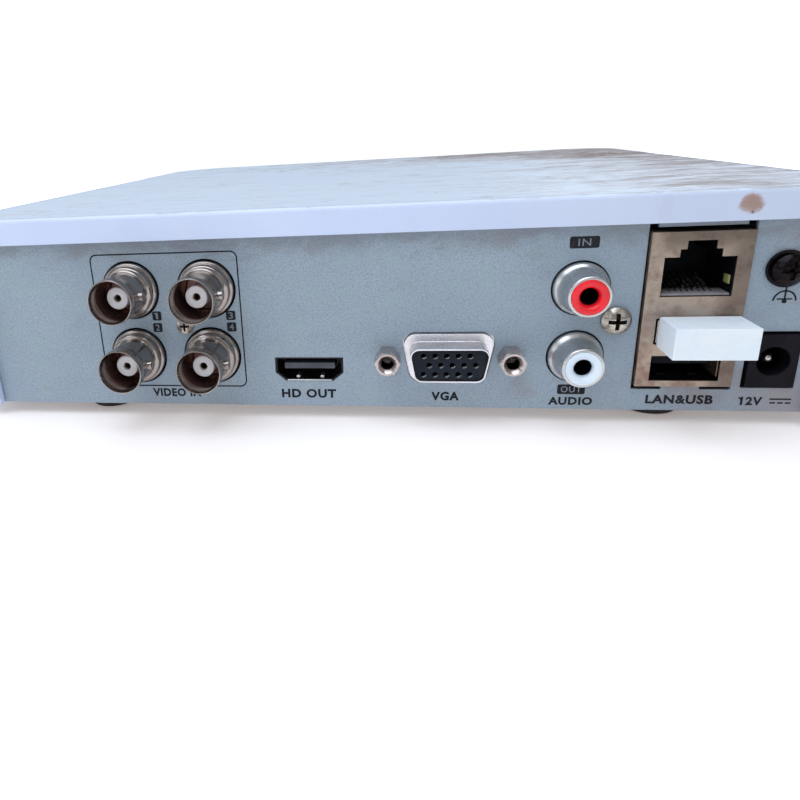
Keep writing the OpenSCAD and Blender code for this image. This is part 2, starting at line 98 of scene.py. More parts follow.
def operator(operation: str, swapped: bool = False) -> Callable[..., "Value"]:
    """Makes one of Value's sums out of a Math node.

    Args:
        operation: The Math node's operation.
        swapped: Whether the value stands second in the sum.

    Returns:
        The method.
    """

    def apply(value: "Value", other: Any = 0.0) -> "Value":
        """Adds the node and hands back its result."""
        first, second = (other, value) if swapped else (value, other)
        return value.graph.node("ShaderNodeMath", {"operation": operation}, {0: first, 1: second})

    return apply


class Value:
    """A node socket that takes part in sums written as Python expressions."""

    __add__, __radd__ = operator("ADD"), operator("ADD", True)
    __sub__, __rsub__ = operator("SUBTRACT"), operator("SUBTRACT", True)
    __mul__, __rmul__ = operator("MULTIPLY"), operator("MULTIPLY", True)
    __truediv__, __abs__ = operator("DIVIDE"), operator("ABSOLUTE")
    most, least = operator("MAXIMUM"), operator("MINIMUM")

    def __init__(self, graph: "Graph", socket: bpy.types.NodeSocket) -> None:
        """Keeps the graph and the socket."""
        self.graph = graph
        self.socket = socket

    def fit(self, low: float, high: float) -> "Value":
        """Rises smoothly from 0 at low to 1 at high, or falls where low is the larger.

        Args:
            low: Where the result is 0.
            high: Where the result is 1.

        Returns:
            The clamped result.
        """
        return self.graph.node(
            "ShaderNodeMapRange",
            {"interpolation_type": "SMOOTHSTEP"},
            {"Value": self, "From Min": low, "From Max": high},
        )


class Graph:
    """The node tree of one material, with its pattern space in millimetres."""

    def __init__(self, title: str) -> None:
        """Starts an empty material with that name."""
        self.material = bpy.data.materials.new(title)
        self.material.use_nodes = True
        self.tree = self.material.node_tree
        self.tree.nodes.clear()
        where = self.node("ShaderNodeTexCoord", output="Object")
        self.place = self.node(
            "ShaderNodeVectorMath", {"operation": "SCALE"}, {0: where, "Scale": 1 / MM}
        )

    def node(
        self,
        kind: str,
        settings: Optional[Mapping[str, Any]] = None,
        inputs: Optional[Mapping[Union[int, str], Any]] = None,
        output: Union[int, str] = 0,
    ) -> Value:
        """Adds a node, sets it up and joins it.

        Args:
            kind: The node's type.
            settings: Its own settings; "stops" is a ramp's list of place and colour.
            inputs: Values or links by socket.
            output: The socket that is handed back.

        Returns:
            That output as a value.
        """
        made = self.tree.nodes.new(kind)
        for key, value in (settings or {}).items():
            if key == "stops":
                elements = made.color_ramp.elements
                while len(elements) < len(value):
                    elements.new(0.5)
                for element, (at, colour) in zip(elements, value):
                    element.position, element.color = at, (*colour, 1)
            else:
                setattr(made, key, value)
        for key, value in (inputs or {}).items():
            socket = made.inputs[key]
            if isinstance(value, Value):
                self.tree.links.new(value.socket, socket)
            elif socket.type == "RGBA" and len(value) == 3:
                socket.default_value = (*value, 1)
            else:
                socket.default_value = value
        return Value(self, made.outputs[output])

    def axes(self, vector: Value) -> tuple[Value, Value, Value]:
        """Splits a vector into its three numbers."""
        node = self.node("ShaderNodeSeparateXYZ", {}, {0: vector}).socket.node
        return tuple(Value(self, socket) for socket in node.outputs)

    def stretched(self, sizes: Sequence[float]) -> Value:
        """The place in units of its own along each axis."""
        return self.node(
            "ShaderNodeVectorMath",
            {"operation": "MULTIPLY"},
            {0: self.place, 1: tuple(1 / s for s in sizes)},
        )

    def noise(
        self,
        size: Union[float, Sequence[float]],
        detail: float = 3.0,
        rough: float = 0.5,
        warp: float = 0.0,
    ) -> Value:
        """A cloudy pattern.

        Args:
            size: The size of its clouds in millimetres, one number or one for each axis.
            detail: How many finer layers it has.
            rough: How strong the finer layers are.
            warp: How far it is drawn out of shape.

        Returns:
            A value round 0.5.
        """
        sizes = (size,) * 3 if isinstance(size, (int, float)) else size
        return self.node(
            "ShaderNodeTexNoise",
            {},
            {
                "Vector": self.stretched(sizes), "Scale": 1.0, "Detail": detail,
                "Roughness": rough, "Distortion": warp,
            },
        )

    def specks(self, pitch: float, radius: float) -> Value:
        """Small round spots.

        Args:
            pitch: The mean distance between them in millimetres.
            radius: Their radius as a share of the pitch.

        Returns:
            1 in a spot and 0 outside.
        """
        far = self.node(
            "ShaderNodeTexVoronoi", {}, {"Vector": self.stretched((pitch,) * 3), "Scale": 1.0}
        )
        return far.fit(radius, radius * 0.5)

    def blend(self, share: Any, first: Any, second: Any) -> Value:
        """Mixes two colours, from the first at 0 to the second at 1."""
        return self.node(
            "ShaderNodeMix", {"data_type": "RGBA"}, {0: share, 6: first, 7: second}, 2
        )

    def facing(self) -> tuple[Value, Value, Value]:
        """The surface's own direction, as three numbers."""
        return self.axes(self.node("ShaderNodeNewGeometry", output="Normal"))

    def surface(
        self,
        base: Any,
        rough: Any,
        metal: Any = 0.0,
        relief: Optional[Value] = None,
        depth: float = 0.0,
        constants: Optional[Mapping[str, Any]] = None,
    ) -> Material:
        """Closes the tree with its shader.

        Args:
            base: Base colour.
            rough: Roughness.
            metal: Metallic.
            relief: Height of the relief, 0 to 1.
            depth: Depth of the relief in millimetres.
            constants: Other sockets of the shader, the same all over.

        Returns:
            The finished material.
        """
        inputs = {"Base Color": base, "Roughness": rough, "Metallic": metal, **(constants or {})}
        if relief is not None:
            inputs["Normal"] = self.node(
                "ShaderNodeBump", {}, {"Height": relief, "Distance": depth * MM, "Strength": 1.0}
            )
        shader = self.node("ShaderNodeBsdfPrincipled", {}, inputs)
        output = self.tree.nodes.new("ShaderNodeOutputMaterial")
        self.tree.links.new(shader.socket, output.inputs["Surface"])
        return self.material


# ---------------------------------------------------------------- finishes


DRESSED: dict[str, Material] = {}


@dataclass(frozen=True)
class Finish:
    """A finish with the slot that it stands for."""

    title: str
    slot: str

    def build(self, graph: Graph) -> Material:
        """Makes the material in that graph."""
        raise NotImplementedError

    def material(self) -> Material:
        """Builds the material the first time and hands out the same one after that."""
        if self.title not in DRESSED:
            DRESSED[self.title] = self.build(Graph(f"{self.title}_finish"))
        return DRESSED[self.title]


@dataclass(frozen=True)
class Plastic(Finish):
    """Moulded plastic with a fine grain, uneven gloss and a film of dust."""

    colour: Colour
    shade: Colour
    rough: float = 0.4
    grain: float = 0.3
    depth: float = 0.012
    dust: Colour = paint(150, 140, 128)
    dusty: float = 0.18
    coat: float = 0.0
    glow_through: float = 0.0
    gleam: float = 0.5

    def build(self, graph: Graph) -> Material:
        """Clouds of the shade, dust in patches and a grain in the relief."""
        cloud = graph.noise(5.0, 4).fit(0.35, 0.7)
        dirt = graph.noise(2.4, 5, 0.65, 0.4).fit(0.5, 0.78) * self.dusty
        base = graph.blend(dirt, graph.blend(cloud, self.colour, self.shade), self.dust)
        fine = graph.noise(self.grain, 2)
        rough = dirt * 0.8 + cloud * 0.06 + fine * 0.08 + self.rough
        constants = {
            "Coat Weight": self.coat, "Coat Roughness": 0.12, "Specular IOR Level": self.gleam,
        }
        if self.glow_through:
            constants["Subsurface Weight"] = self.glow_through
            constants["Subsurface Radius"] = (0.0008, 0.0007, 0.0006)
        return graph.surface(base, rough, 0.0, fine, self.depth, constants)


@dataclass(frozen=True)
class Metal(Finish):
    """Plated or bare metal with tarnish in patches and hairline scratches."""

    colour: Colour
    tarnish: Colour
    tarnished: float = 0.4
    rough: float = 0.22
    patch: float = 2.6
    brushed: tuple[float, float, float] = (0.5, 0.12, 0.5)
    depth: float = 0.006

    def build(self, graph: Graph) -> Material:
        """Clouded plating, duller and darker where it is tarnished."""
        cloud = graph.noise(self.patch, 5, 0.62, 0.3)
        spot = graph.noise(self.patch * 0.22, 3, 0.6)
        worn = (cloud * 0.65 + spot * 0.35).fit(0.42, 0.66) * self.tarnished
        lines = graph.noise(self.brushed, 2, 0.55)
        base = self.tinted(graph, graph.blend(worn, self.colour, self.tarnish))
        rough = worn * 0.35 + lines * 0.14 + (self.rough - 0.06)
        return graph.surface(base, rough, 1.0 - worn * 0.45, lines, self.depth)

    def tinted(self, graph: Graph, base: Value) -> Value:
        """Gives a kind of metal the chance to colour some places differently."""
        return base


@dataclass(frozen=True)
class BarrelMetal(Metal):
    """Plated sockets with painted shade deep in their bores: a dark brown that stands for the dim
    reflection there.
    """

    # bore: painted shade, the dark brown that stands for the dim reflection deep in the bores.
    bore: Colour = paint(128, 98, 92)
    radius: float = 4.3
    edge: float = 0.25
    starts: float = 10.6
    full: float = 11.4

    def tinted(self, graph: Graph, base: Value) -> Value:
        """Paints shade in dark brown deep in the four bores of the video sockets."""
        first, last = centre("bnc_shell_1"), centre("bnc_shell_4")
        x, y, z = graph.axes(graph.place)
        across = abs(x - (first.x + last.x) / 2) - abs(last.x - first.x) / 2
        upright = abs(z - (first.z + last.z) / 2) - abs(last.z - first.z) / 2
        reach = across * across + upright * upright
        # painted shade: within each bore's radius and deeper than starts.
        bore_shade = reach.fit(self.radius ** 2, (self.radius - self.edge) ** 2)
        return graph.blend(bore_shade * y.fit(FACE - self.full, FACE - self.starts), base, self.bore)


@dataclass(frozen=True)
class ShieldMetal(Metal):
    """A plated shield with painted shade at the top, under the cover's rim, and at the right side,
    so it is brightest at its left side.
    """

    # painted shade: the colour that the shaded top and right side go towards.
    painted_shade: Colour = paint(64, 56, 52)
    warm: Colour = paint(150, 106, 96)
    warm_from: Point = (27.5, 25)

    def tinted(self, graph: Graph, base: Value) -> Value:
        """Paints shade on the top and the right side, and warms the middle with tarnish."""
        x, _, z = graph.axes(graph.place)
        low, high = corners("lan_shield")
        mid = (low.x + high.x) / 2
        # painted shade: the top, under the cover's rim, and the right side are darkened.
        share = z.fit(high.z - 5.5, high.z - 1) * x.fit(low.x, low.x + 4) * 0.62
        share = share.most(x.fit(mid + 2, high.x - 1.5) * 0.58)
        warmed = graph.noise(4.5, 4, 0.6).fit(0.42, 0.66) * z.fit(*self.warm_from) * 0.45
        return graph.blend(share, graph.blend(warmed, base, self.warm), self.painted_shade)


@dataclass(frozen=True)
class CoverPlastic(Finish):
    """White moulded plastic that has lain outdoors: streaks of mud, dust and stains, over painted
    light on its top and painted shade on its sides.
    """

    colour: Colour = paint(216, 229, 255)
    shade: Colour = paint(207, 221, 251)
    # painted light on the top faces
    painted_top_light: Colour = paint(226, 240, 255)
    # painted shade on the sides
    painted_shade: Colour = paint(190, 200, 218)
    mud: Colour = paint(104, 72, 50)
    light_mud: Colour = paint(160, 138, 122)
    ochre: Colour = paint(150, 98, 44)
    speck: Colour = paint(70, 60, 52)
    stain_at: Point = (70.8, 44.2)

    def build(self, graph: Graph) -> Material:
        """Mud along the top, heaviest at one end, a stain on the rim and small spots all over, over
        painted light on the top and painted shade on the sides, darker towards the right.
        """
        x, y, z = graph.axes(graph.place)
        _, _, upward = graph.facing()
        top = upward.fit(0.55, 0.95)
        streak = graph.noise((30, 11, 40), 7, 0.66, 1.2)
        finer = graph.noise((6, 2.0, 8), 6, 0.7, 0.8)
        far = y.fit(10, 98) * x.fit(-70, 0)
        spread = x.fit(0, 85) * 0.12 + far * 0.15 + x.fit(50, 94) * y.fit(-80, 30) * 0.09
        spread = spread.least(0.2)
        mask = streak * 0.55 + finer * 0.45 + spread
        film = mask.fit(0.5, 0.7) * top
        heavy = mask.fit(0.62, 0.8) * top
        outline = abs(graph.noise((17, 11, 17), 4, 0.6, 1.0) - 0.5).fit(0.022, 0.004)
        outline = outline * graph.noise(22, 3).fit(0.46, 0.6) * y.fit(-30, 60) * top
        cloud = graph.noise(40, 4).fit(0.3, 0.7)
        base = graph.blend(cloud, self.colour, self.shade)
        # painted shade: the sides darken towards the right.
        base = graph.blend(x.fit(-10, 90) * (1 - top) * 0.6, base, self.painted_shade)
        # painted light: the top faces are lighter.
        base = graph.blend(top * 0.9, base, self.painted_top_light)
        base = graph.blend(film * 0.6, base, self.light_mud)
        base = graph.blend(heavy * 0.62 + outline * 0.5, base, self.mud)
        across = (x - self.stain_at[0]) * (x - self.stain_at[0]) / 7
        upright = (z - self.stain_at[1]) * (z - self.stain_at[1]) / 6
        stain = (across + upright + graph.noise(1.6, 4, 0.7) * 1.1).fit(1.35, 0.75)
        stain = stain * y.fit(FACE + 3.45, FACE + 0.45)
        base = graph.blend(stain * 0.75, base, self.ochre)
        drips = graph.noise((3.5, 4, 18), 4, 0.6).fit(0.6, 0.78) * (1 - top)
        base = graph.blend(drips * 0.08, base, self.light_mud)
        dots = graph.specks(7.5, 0.055)
        base = graph.blend(dots * 0.8, base, self.speck)
        fine = graph.noise(0.45, 2)
        rough = 0.36 + film * 0.32 + heavy * 0.12 + fine * 0.06
        relief = fine * 0.25 + heavy * 0.9
        return graph.surface(base, rough, 0.0, relief, 0.03, {"Specular IOR Level": 0.35})


@dataclass(frozen=True)
class PanelPaint(Finish):
    """Grey-blue powder paint on steel, speckled, with dirt and painted shadow under the cover's rim
    and painted shade towards the right.
    """

    colour: Colour = paint(163, 180, 195)
    fleck: Colour = paint(134, 149, 164)
    bright: Colour = paint(183, 198, 210)
    green: Colour = paint(156, 176, 178)
    # dirt and painted shadow under the cover's rim
    grime_and_rim_shadow: Colour = paint(112, 102, 96)
    rust: Colour = paint(150, 128, 124)

    def build(self, graph: Graph) -> Material:
        """Fine speckle over slow clouds, painted shade towards the right, dirt and painted shadow
        near the top, and rust towards the right end.
        """
        x, y, z = graph.axes(graph.place)
        outer = y.fit(FACE + 0.55, FACE + 0.15)
        speckle = graph.noise(0.34, 3, 0.7)
        cloud = graph.noise(12, 4, 0.55).fit(0.3, 0.75)
        base = graph.blend(speckle.fit(0.28, 0.62), self.fleck, self.colour)
        base = graph.blend(speckle.fit(0.6, 0.8) * 0.35, base, self.bright)
        # painted shade: darker towards the right, over slow random clouds.
        base = graph.blend(cloud * 0.2 + x.fit(20, 62) * 0.38, base, self.fleck)
        green = graph.noise(5.5, 4, 0.6, 0.5).fit(0.46, 0.68) * 0.3
        base = graph.blend(green, base, self.green)
        worn = graph.noise((9, 9, 5), 5, 0.65, 0.6)
        # dirt and painted shadow of the cover's rim, near the top.
        below = z.fit(33.5, 41.5) * 0.34 + worn * 0.8
        base = graph.blend(below.fit(0.46, 0.8) * outer * 0.42, base, self.grime_and_rim_shadow)
        corner = x.fit(46, 92) * 0.2 + z.fit(24, 5) * x.fit(-30, 60) * 0.14 + worn * 0.8
        base = graph.blend(corner.fit(0.52, 0.84) * outer * 0.5, base, self.rust)
        rough = 0.5 + speckle * 0.12 + cloud * 0.06
        return graph.surface(base, rough, 0.12, speckle, 0.02)


@dataclass(frozen=True)
class CircuitBoard(Finish):
    """Green lacquer over copper tracks, with bare pads."""

    lacquer: Colour = paint(20, 84, 52)
    track: Colour = paint(38, 112, 68)
    pad: Colour = paint(196, 184, 140)
    # painted shade along the rear edge
    shade: Colour = paint(12, 14, 14)

    def build(self, graph: Graph) -> Material:
        """Square cells give the tracks, spots give the pads, and the rear edge is painted near
        black as shade under the sockets.
        """
        cells = graph.node(
            "ShaderNodeTexVoronoi",
            {"distance": "CHEBYCHEV", "feature": "F1"},
            {"Vector": graph.stretched((3.4, 3.4, 50)), "Scale": 1.0, "Randomness": 0.75},
        )
        ring = graph.node(
            "ShaderNodeMath", {"operation": "PINGPONG"}, {0: cells, 1: 0.055}
        ).fit(0.02, 0.032)
        pads = graph.specks(5.2, 0.13)
        base = graph.blend(ring, self.lacquer, self.track)
        base = graph.blend(pads, base, self.pad)
        _, y, _ = graph.axes(graph.place)
        # painted shade: the strip along the rear edge, under the sockets, goes near black.
        base = graph.blend(y.fit(FACE + 7, FACE + 4), base, self.shade)
        rough = 0.32 + graph.noise(6, 3) * 0.12
        return graph.surface(base, rough, pads * 0.9, ring, 0.03, {"Coat Weight": 0.25})


@dataclass(frozen=True)
class Ribbed(Finish):
    """A soft sleeve ribbed along the cable's run."""

    colour: Colour
    shade: Colour
    pitch: float = 1.3

    def build(self, graph: Graph) -> Material:
        """Ribs up the cable's height, painted darker in their grooves as shade, with a slow shift
        of colour.
        """
        _, _, z = graph.axes(graph.place)
        ribs = graph.node("ShaderNodeMath", {"operation": "PINGPONG"}, {0: z, 1: self.pitch})
        ribs = (ribs / self.pitch).fit(0.1, 0.7)
        cloud = graph.noise(7, 3).fit(0.3, 0.7)
        # painted shade: the rib grooves are darker; the cloud is a slow shift of tone.
        base = graph.blend(ribs * 0.6 + cloud * 0.4, self.shade, self.colour)
        return graph.surface(base, 0.42 + cloud * 0.1, 0.0, ribs, 0.12)


COVER = CoverPlastic("cover_plastic", "white_plastic")
PANEL = PanelPaint("panel_paint", "panel_steel")
NICKEL = Metal("warm_nickel", "nickel", paint(200, 190, 188), paint(138, 116, 108), 0.35, 0.2, 5.0)
BARREL = BarrelMetal(
    "barrel_nickel", "nickel", paint(168, 160, 155), paint(116, 94, 84), 0.34, 0.15, 9.0,
    depth=0.002,
)
# A shaded copy of nickel: painted shade for plated parts that sit in shadow.
SHADED_NICKEL = Metal("shaded_nickel", "nickel", paint(58, 54, 56), paint(34, 32, 36), 0.5, 0.3, 3.0)
BRIGHT_NICKEL = Metal(
    "bright_nickel", "nickel", paint(208, 208, 208), paint(172, 166, 160), 0.14, 0.26, 12.0,
    (4.0, 4.0, 4.0), 0.001,
)
LIP_NICKEL = Metal(
    "lip_nickel", "nickel", paint(238, 238, 242), paint(196, 178, 172), 0.3, 0.26, 9.0, depth=0.001
)
SHIELD = ShieldMetal(
    "shield_nickel", "shield_nickel", paint(176, 162, 148), paint(130, 106, 94), 0.6, 0.38, 4.0,
    (3.0, 3.0, 0.5),
)
ZINC = Metal("zinc_screw", "zinc_screw", paint(196, 190, 180), paint(104, 82, 68), 0.55, 0.2, 2.4)
# dirt and painted shade in the screws' cross recesses
RECESS_DIRT_AND_SHADE = Plastic(
    "recess_dirt_and_shade", "zinc_screw", paint(30, 23, 21), paint(18, 14, 13), 0.7, gleam=0.1
)
BRASS = Metal("gilt_brass", "contact_brass", paint(140, 108, 62), paint(62, 42, 26), 0.5, 0.26, 0.9)
PIN_TIN = Metal(
    "pin_tin", "contact_brass", paint(206, 202, 196), paint(150, 140, 130), 0.3, 0.22, 1.2
)
SOFT_ALLOY = Metal(
    "bare_aluminium", "aluminium", paint(196, 198, 200), paint(150, 150, 152), 0.25, 0.34, 9.0,
    (14.0, 0.3, 0.3),
)
CELL = Metal("cell_steel", "cell_steel", paint(206, 206, 204), paint(150, 146, 138), 0.25, 0.2)
BLACK_STEEL = Metal(
    "black_steel", "black_steel", paint(30, 27, 30), paint(40, 31, 28), 0.4, 0.15, 1.4
)
BLACK = Plastic(
    "black_plastic", "black_plastic", paint(13, 16, 22), paint(9, 11, 15), 0.42,
    dust=paint(84, 80, 76), dusty=0.06, gleam=0.1,
)
CHIP = Plastic("chip_black", "chip_black", paint(34, 35, 37), paint(24, 25, 27), 0.5, 0.2)
INLET = Plastic(
    "inlet_plastic", "black_plastic", paint(19, 18, 25), paint(13, 12, 18), 0.36,
    dust=paint(90, 86, 92), dusty=0.06, gleam=0.12
)
INSULATOR = Plastic(
    "insulator", "ptfe", paint(246, 248, 252), paint(230, 230, 234), 0.38,
    dust=paint(138, 118, 96), dusty=0.25, glow_through=0.1,
)
RED_RING = Plastic(
    "red_ring", "red_ring", paint(250, 26, 44), paint(228, 16, 34), 0.28, coat=0.2, dusty=0.06
)
WHITE_RING = Plastic(
    "white_ring", "white_ring", paint(232, 246, 255), paint(220, 237, 253), 0.26, coat=0.2,
    dusty=0.08,
)
DONGLE_WHITE = Plastic(
    "dongle_white", "dongle_white", paint(238, 248, 255), paint(230, 243, 255), 0.38,
    dust=paint(190, 182, 170), dusty=0.12, glow_through=0.06,
)
RUBBER = Plastic(
    "foot_rubber", "foot_rubber", paint(44, 44, 46), paint(32, 32, 34), 0.72, 0.5, 0.03
)
SLEEVE = Plastic("can_sleeve", "can_sleeve", paint(26, 38, 82), paint(18, 26, 60), 0.3)
GUIDE = Plastic(
    "light_guide", "clear_plastic", paint(214, 220, 226), paint(196, 204, 212), 0.24,
    glow_through=0.2,
)
INK = Plastic(
    "dark_ink", "panel_steel", paint(20, 23, 32), paint(34, 37, 46), 0.5, 0.25, 0.004, dusty=0.1,
    gleam=0.2,
)
LIGHT_INK = Plastic(
    "light_ink", "panel_steel", paint(138, 146, 156), paint(120, 128, 138), 0.5, 0.25, 0.004
)
LIGHT_PIPE = Plastic(
    "lamp_window", "clear_plastic", paint(176, 180, 116), paint(120, 122, 70), 0.3, coat=0.2
)
TONGUE = Plastic(
    "tongue_plastic", "black_plastic", paint(80, 84, 94), paint(66, 70, 80), 0.4, dusty=0.05
)
MONITOR_FACE = Plastic(
    "monitor_face", "black_plastic", paint(20, 30, 42), paint(15, 24, 34), 0.45, dusty=0.05,
    gleam=0.2,
)
# painted light: the jack's black plastic in light grey, as light falling on the floor of its mouth.
LIT_JACK_FLOOR = Plastic(
    "lit_jack_floor", "black_plastic", paint(146, 143, 147), paint(128, 125, 129), 0.34, dusty=0.1
)
LABEL = Plastic(
    "label_paper", "aluminium", paint(226, 226, 220), paint(214, 214, 208), 0.6, 0.6, 0.01
)
CERAMIC = Plastic("ceramic", "chip_black", paint(120, 98, 72), paint(96, 78, 58), 0.5, 0.3)
BOARD = CircuitBoard("circuit_board", "board_green")
RED_CABLE = Ribbed("red_sleeve", "cable_red", paint(172, 26, 26), paint(118, 14, 16))
BLACK_CABLE = Ribbed("black_sleeve", "cable_black", paint(38, 38, 42), paint(18, 18, 20))


# ---------------------------------------------------------------- shaping helpers


def corners(node: str) -> tuple[Vector, Vector]:
    """A frame node's lowest and highest corners in millimetres."""
    low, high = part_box(node)
    return low / MM, high / MM


def centre(node: str) -> Vector:
    """The middle of a frame node's box in millimetres."""
    low, high = corners(node)
    return (low + high) / 2


FACE = corners("chassis")[0].y


def on_face(x: float, z: float, out: float = 0.0) -> Vector:
    """A point by its place on the rear panel and its distance out of it."""
    return Vector((x, FACE - out, z))


def turned(
    profile: Sequence[Point],
    at: Vector,
    axis: Vector = OUT,
    steps: int = 48,
    angle: float = TURN,
    start: float = 0.0,
    closed: bool = True,
) -> Shape:
    """Turns a profile on the lathe.

    Args:
        profile: Radius and height along the axis, in order.
        at: The point on the axis where the height is 0.
        axis: The direction of the axis.
        steps: Steps round the turn.
        angle: How far it is turned.
        start: The angle at which it starts.
        closed: Whether the profile's last point joins its first.

    Returns:
        The turned shape.
    """
    shape = bmesh.new()
    side = UP if abs(axis.z) < 0.5 else SIDE
    side = Matrix.Rotation(start, 3, axis) @ side
    verts = [shape.verts.new(at + axis * out + side * radius) for radius, out in profile]
    pairs = list(zip(verts, verts[1:] + verts[:1])) if closed else list(zip(verts, verts[1:]))
    edges = [shape.edges.new(pair) for pair in pairs]
    full = abs(angle - TURN) < 1e-6
    bmesh.ops.spin(
        shape, geom=verts + edges, cent=at, axis=axis, angle=angle, steps=steps, use_merge=full
    )
    bmesh.ops.remove_doubles(shape, verts=shape.verts[:], dist=MERGE)
    if not full:
        ends = [edge for edge in shape.edges if edge.is_boundary]
        bmesh.ops.holes_fill(shape, edges=ends, sides=0)
    return shape


def rounded(
    shape: Shape,
    geom: Sequence[Any],
    width: float,
    segments: int,
    affect: str = "EDGES",
) -> None:
    """Rounds edges, or the corners of a flat face.

    Args:
        shape: The shape that they are part of.
        geom: The edges or the corners.
        width: How wide each one is rounded.
        segments: Steps across each one.
        affect: "EDGES" or "VERTICES".
    """
    bmesh.ops.bevel(
        shape, geom=geom, offset=width, segments=segments, profile=0.5, affect=affect,
        material=-1, clamp_overlap=affect == "EDGES",
    )


def block(low: Vector, high: Vector, soft: float = 0.1, segments: int = 2) -> Shape:
    """A box with rounded edges.

    Args:
        low: Its lowest corner.
        high: Its highest corner.
        soft: The radius of its edges.
        segments: Steps across each edge.

    Returns:
        The box.
    """
    shape = bmesh.new()
    bmesh.ops.create_cube(shape, size=1)
    size = [abs(b - a) for a, b in zip(low, high)]
    bmesh.ops.scale(shape, vec=size, verts=shape.verts[:])
    bmesh.ops.translate(shape, vec=(Vector(high) + Vector(low)) / 2, verts=shape.verts[:])
    if soft:
        rounded(shape, shape.edges[:], soft, segments)
    return shape


def bar(x: Point, z: Point, out: Point, soft: float = 0.1, segments: int = 2) -> Shape:
    """A block given by its spans across the rear panel, up it and out of it.

    Args:
        x: From where to where across the panel.
        z: From where to where up the panel.
        out: From where to where out of the panel.
        soft: The radius of its edges.
        segments: Steps across each edge.

    Returns:
        The block.
    """
    return block(on_face(x[0], z[0], out[0]), on_face(x[1], z[1], out[1]), soft, segments)


def about(middle: float, half: float) -> Point:
    """A span from its middle and its half width."""
    return middle - half, middle + half


def faced_out(shape: Shape, at: Vector) -> Shape:
    """Stands a shape drawn flat up at a point, facing out of the panel."""
    turn = Matrix.Translation(at) @ Matrix.Rotation(math.pi / 2, 4, "X")
    bmesh.ops.transform(shape, matrix=turn, verts=shape.verts[:])
    return shape


def card(
    at: Vector, width: float, height: float, corner: float, thick: float, ring: float = 0.0
) -> Shape:
    """A flat card with round corners that faces out of the panel.

    Args:
        at: The middle of its outer face.
        width: Its width.
        height: Its height.
        corner: The radius of its corners.
        thick: Its thickness.
        ring: The width of its border where only the border is kept.

    Returns:
        The card.
    """
    shape = bmesh.new()
    made = bmesh.ops.create_grid(shape, x_segments=1, y_segments=1, size=0.5)
    bmesh.ops.scale(shape, vec=(width, height, 1), verts=made["verts"])
    rounded(shape, shape.verts[:], corner, 6, "VERTICES")
    if ring:
        inner = shape.faces[:]
        bmesh.ops.inset_region(
            shape, faces=inner, thickness=ring, use_even_offset=True, use_boundary=True
        )
        bmesh.ops.delete(shape, geom=inner, context="FACES")
    grown = bmesh.ops.extrude_face_region(shape, geom=shape.faces[:])
    back = [item for item in grown["geom"] if isinstance(item, bmesh.types.BMVert)]
    bmesh.ops.translate(shape, vec=(0, 0, -thick), verts=back)
    return faced_out(shape, at)


def lettering(
    text: str, at: Vector, width: float, height: float, weight: float = 0.045, thick: float = 0.04
) -> Shape:
    """Plain letters that face out of the panel.

    Args:
        text: The letters.
        at: The middle of their outer face.
        width: Their whole width.
        height: Their height.
        weight: How much bolder than the plain face they are.
        thick: Their thickness.

    Returns:
        The letters as a closed mesh.
    """
    curve = bpy.data.curves.new("letters", "FONT")
    curve.body, curve.offset, curve.extrude, curve.resolution_u = text, weight, 0.02, 3
    curve.space_character = 1.12
    holder = bpy.data.objects.new("letters", curve)
    bpy.context.scene.collection.objects.link(holder)
    graph = bpy.context.evaluated_depsgraph_get()
    mesh = bpy.data.meshes.new_from_object(holder.evaluated_get(graph))
    shape = bmesh.new()
    shape.from_mesh(mesh)
    bpy.data.objects.remove(holder)
    bpy.data.meshes.remove(mesh)
    bmesh.ops.remove_doubles(shape, verts=shape.verts[:], dist=1e-5)
    spans = [[vert.co[i] for vert in shape.verts] for i in range(3)]
    middle = Vector([(min(s) + max(s)) / 2 for s in spans])
    size = [max(s) - min(s) for s in spans]
    bmesh.ops.translate(shape, vec=-middle, verts=shape.verts[:])
    bmesh.ops.scale(
        shape, vec=(width / size[0], height / size[1], thick / size[2]), verts=shape.verts[:]
    )
    return faced_out(shape, at - OUT * thick / 2)


def stroke(at: Vector, length: float, width: float, lean: float, thick: float) -> Shape:
    """A short printed stroke, leaned in the panel's plane.

    Args:
        at: The middle of its outer face.
        length: Its length.
        width: Its width.
        lean: How far it leans to the left of level, in degrees.
        thick: Its thickness.

    Returns:
        The stroke.
    """
    shape = card(at, length, width, width * 0.1, thick)
    turn = Matrix.Rotation(math.radians(lean), 3, OUT)
    bmesh.ops.rotate(shape, cent=at, matrix=turn, verts=shape.verts[:])
    return shape


def recess_dirt_and_shade(node: str, head: float, height: float) -> None:
    """Fills the lower part of a screw's cross recess with a dark fill that stands for dirt and
    painted shade.

    Args:
        node: The screw's frame node.
        head: The diameter of its head.
        height: The height of its head.
    """
    spot, top = centre(node), FACE - corners(node)[0].y
    long, thin = head * 0.295, head * 0.065
    depth = (top - height * 0.54, top - height * 0.32)
    arms = [
        bar(about(spot.x, w), about(spot.z, h), depth, 0)
        for w, h in ((long, thin), (thin, long))
    ]
    piece(arms, f"{node}_recess_dirt_and_shade", RECESS_DIRT_AND_SHADE)


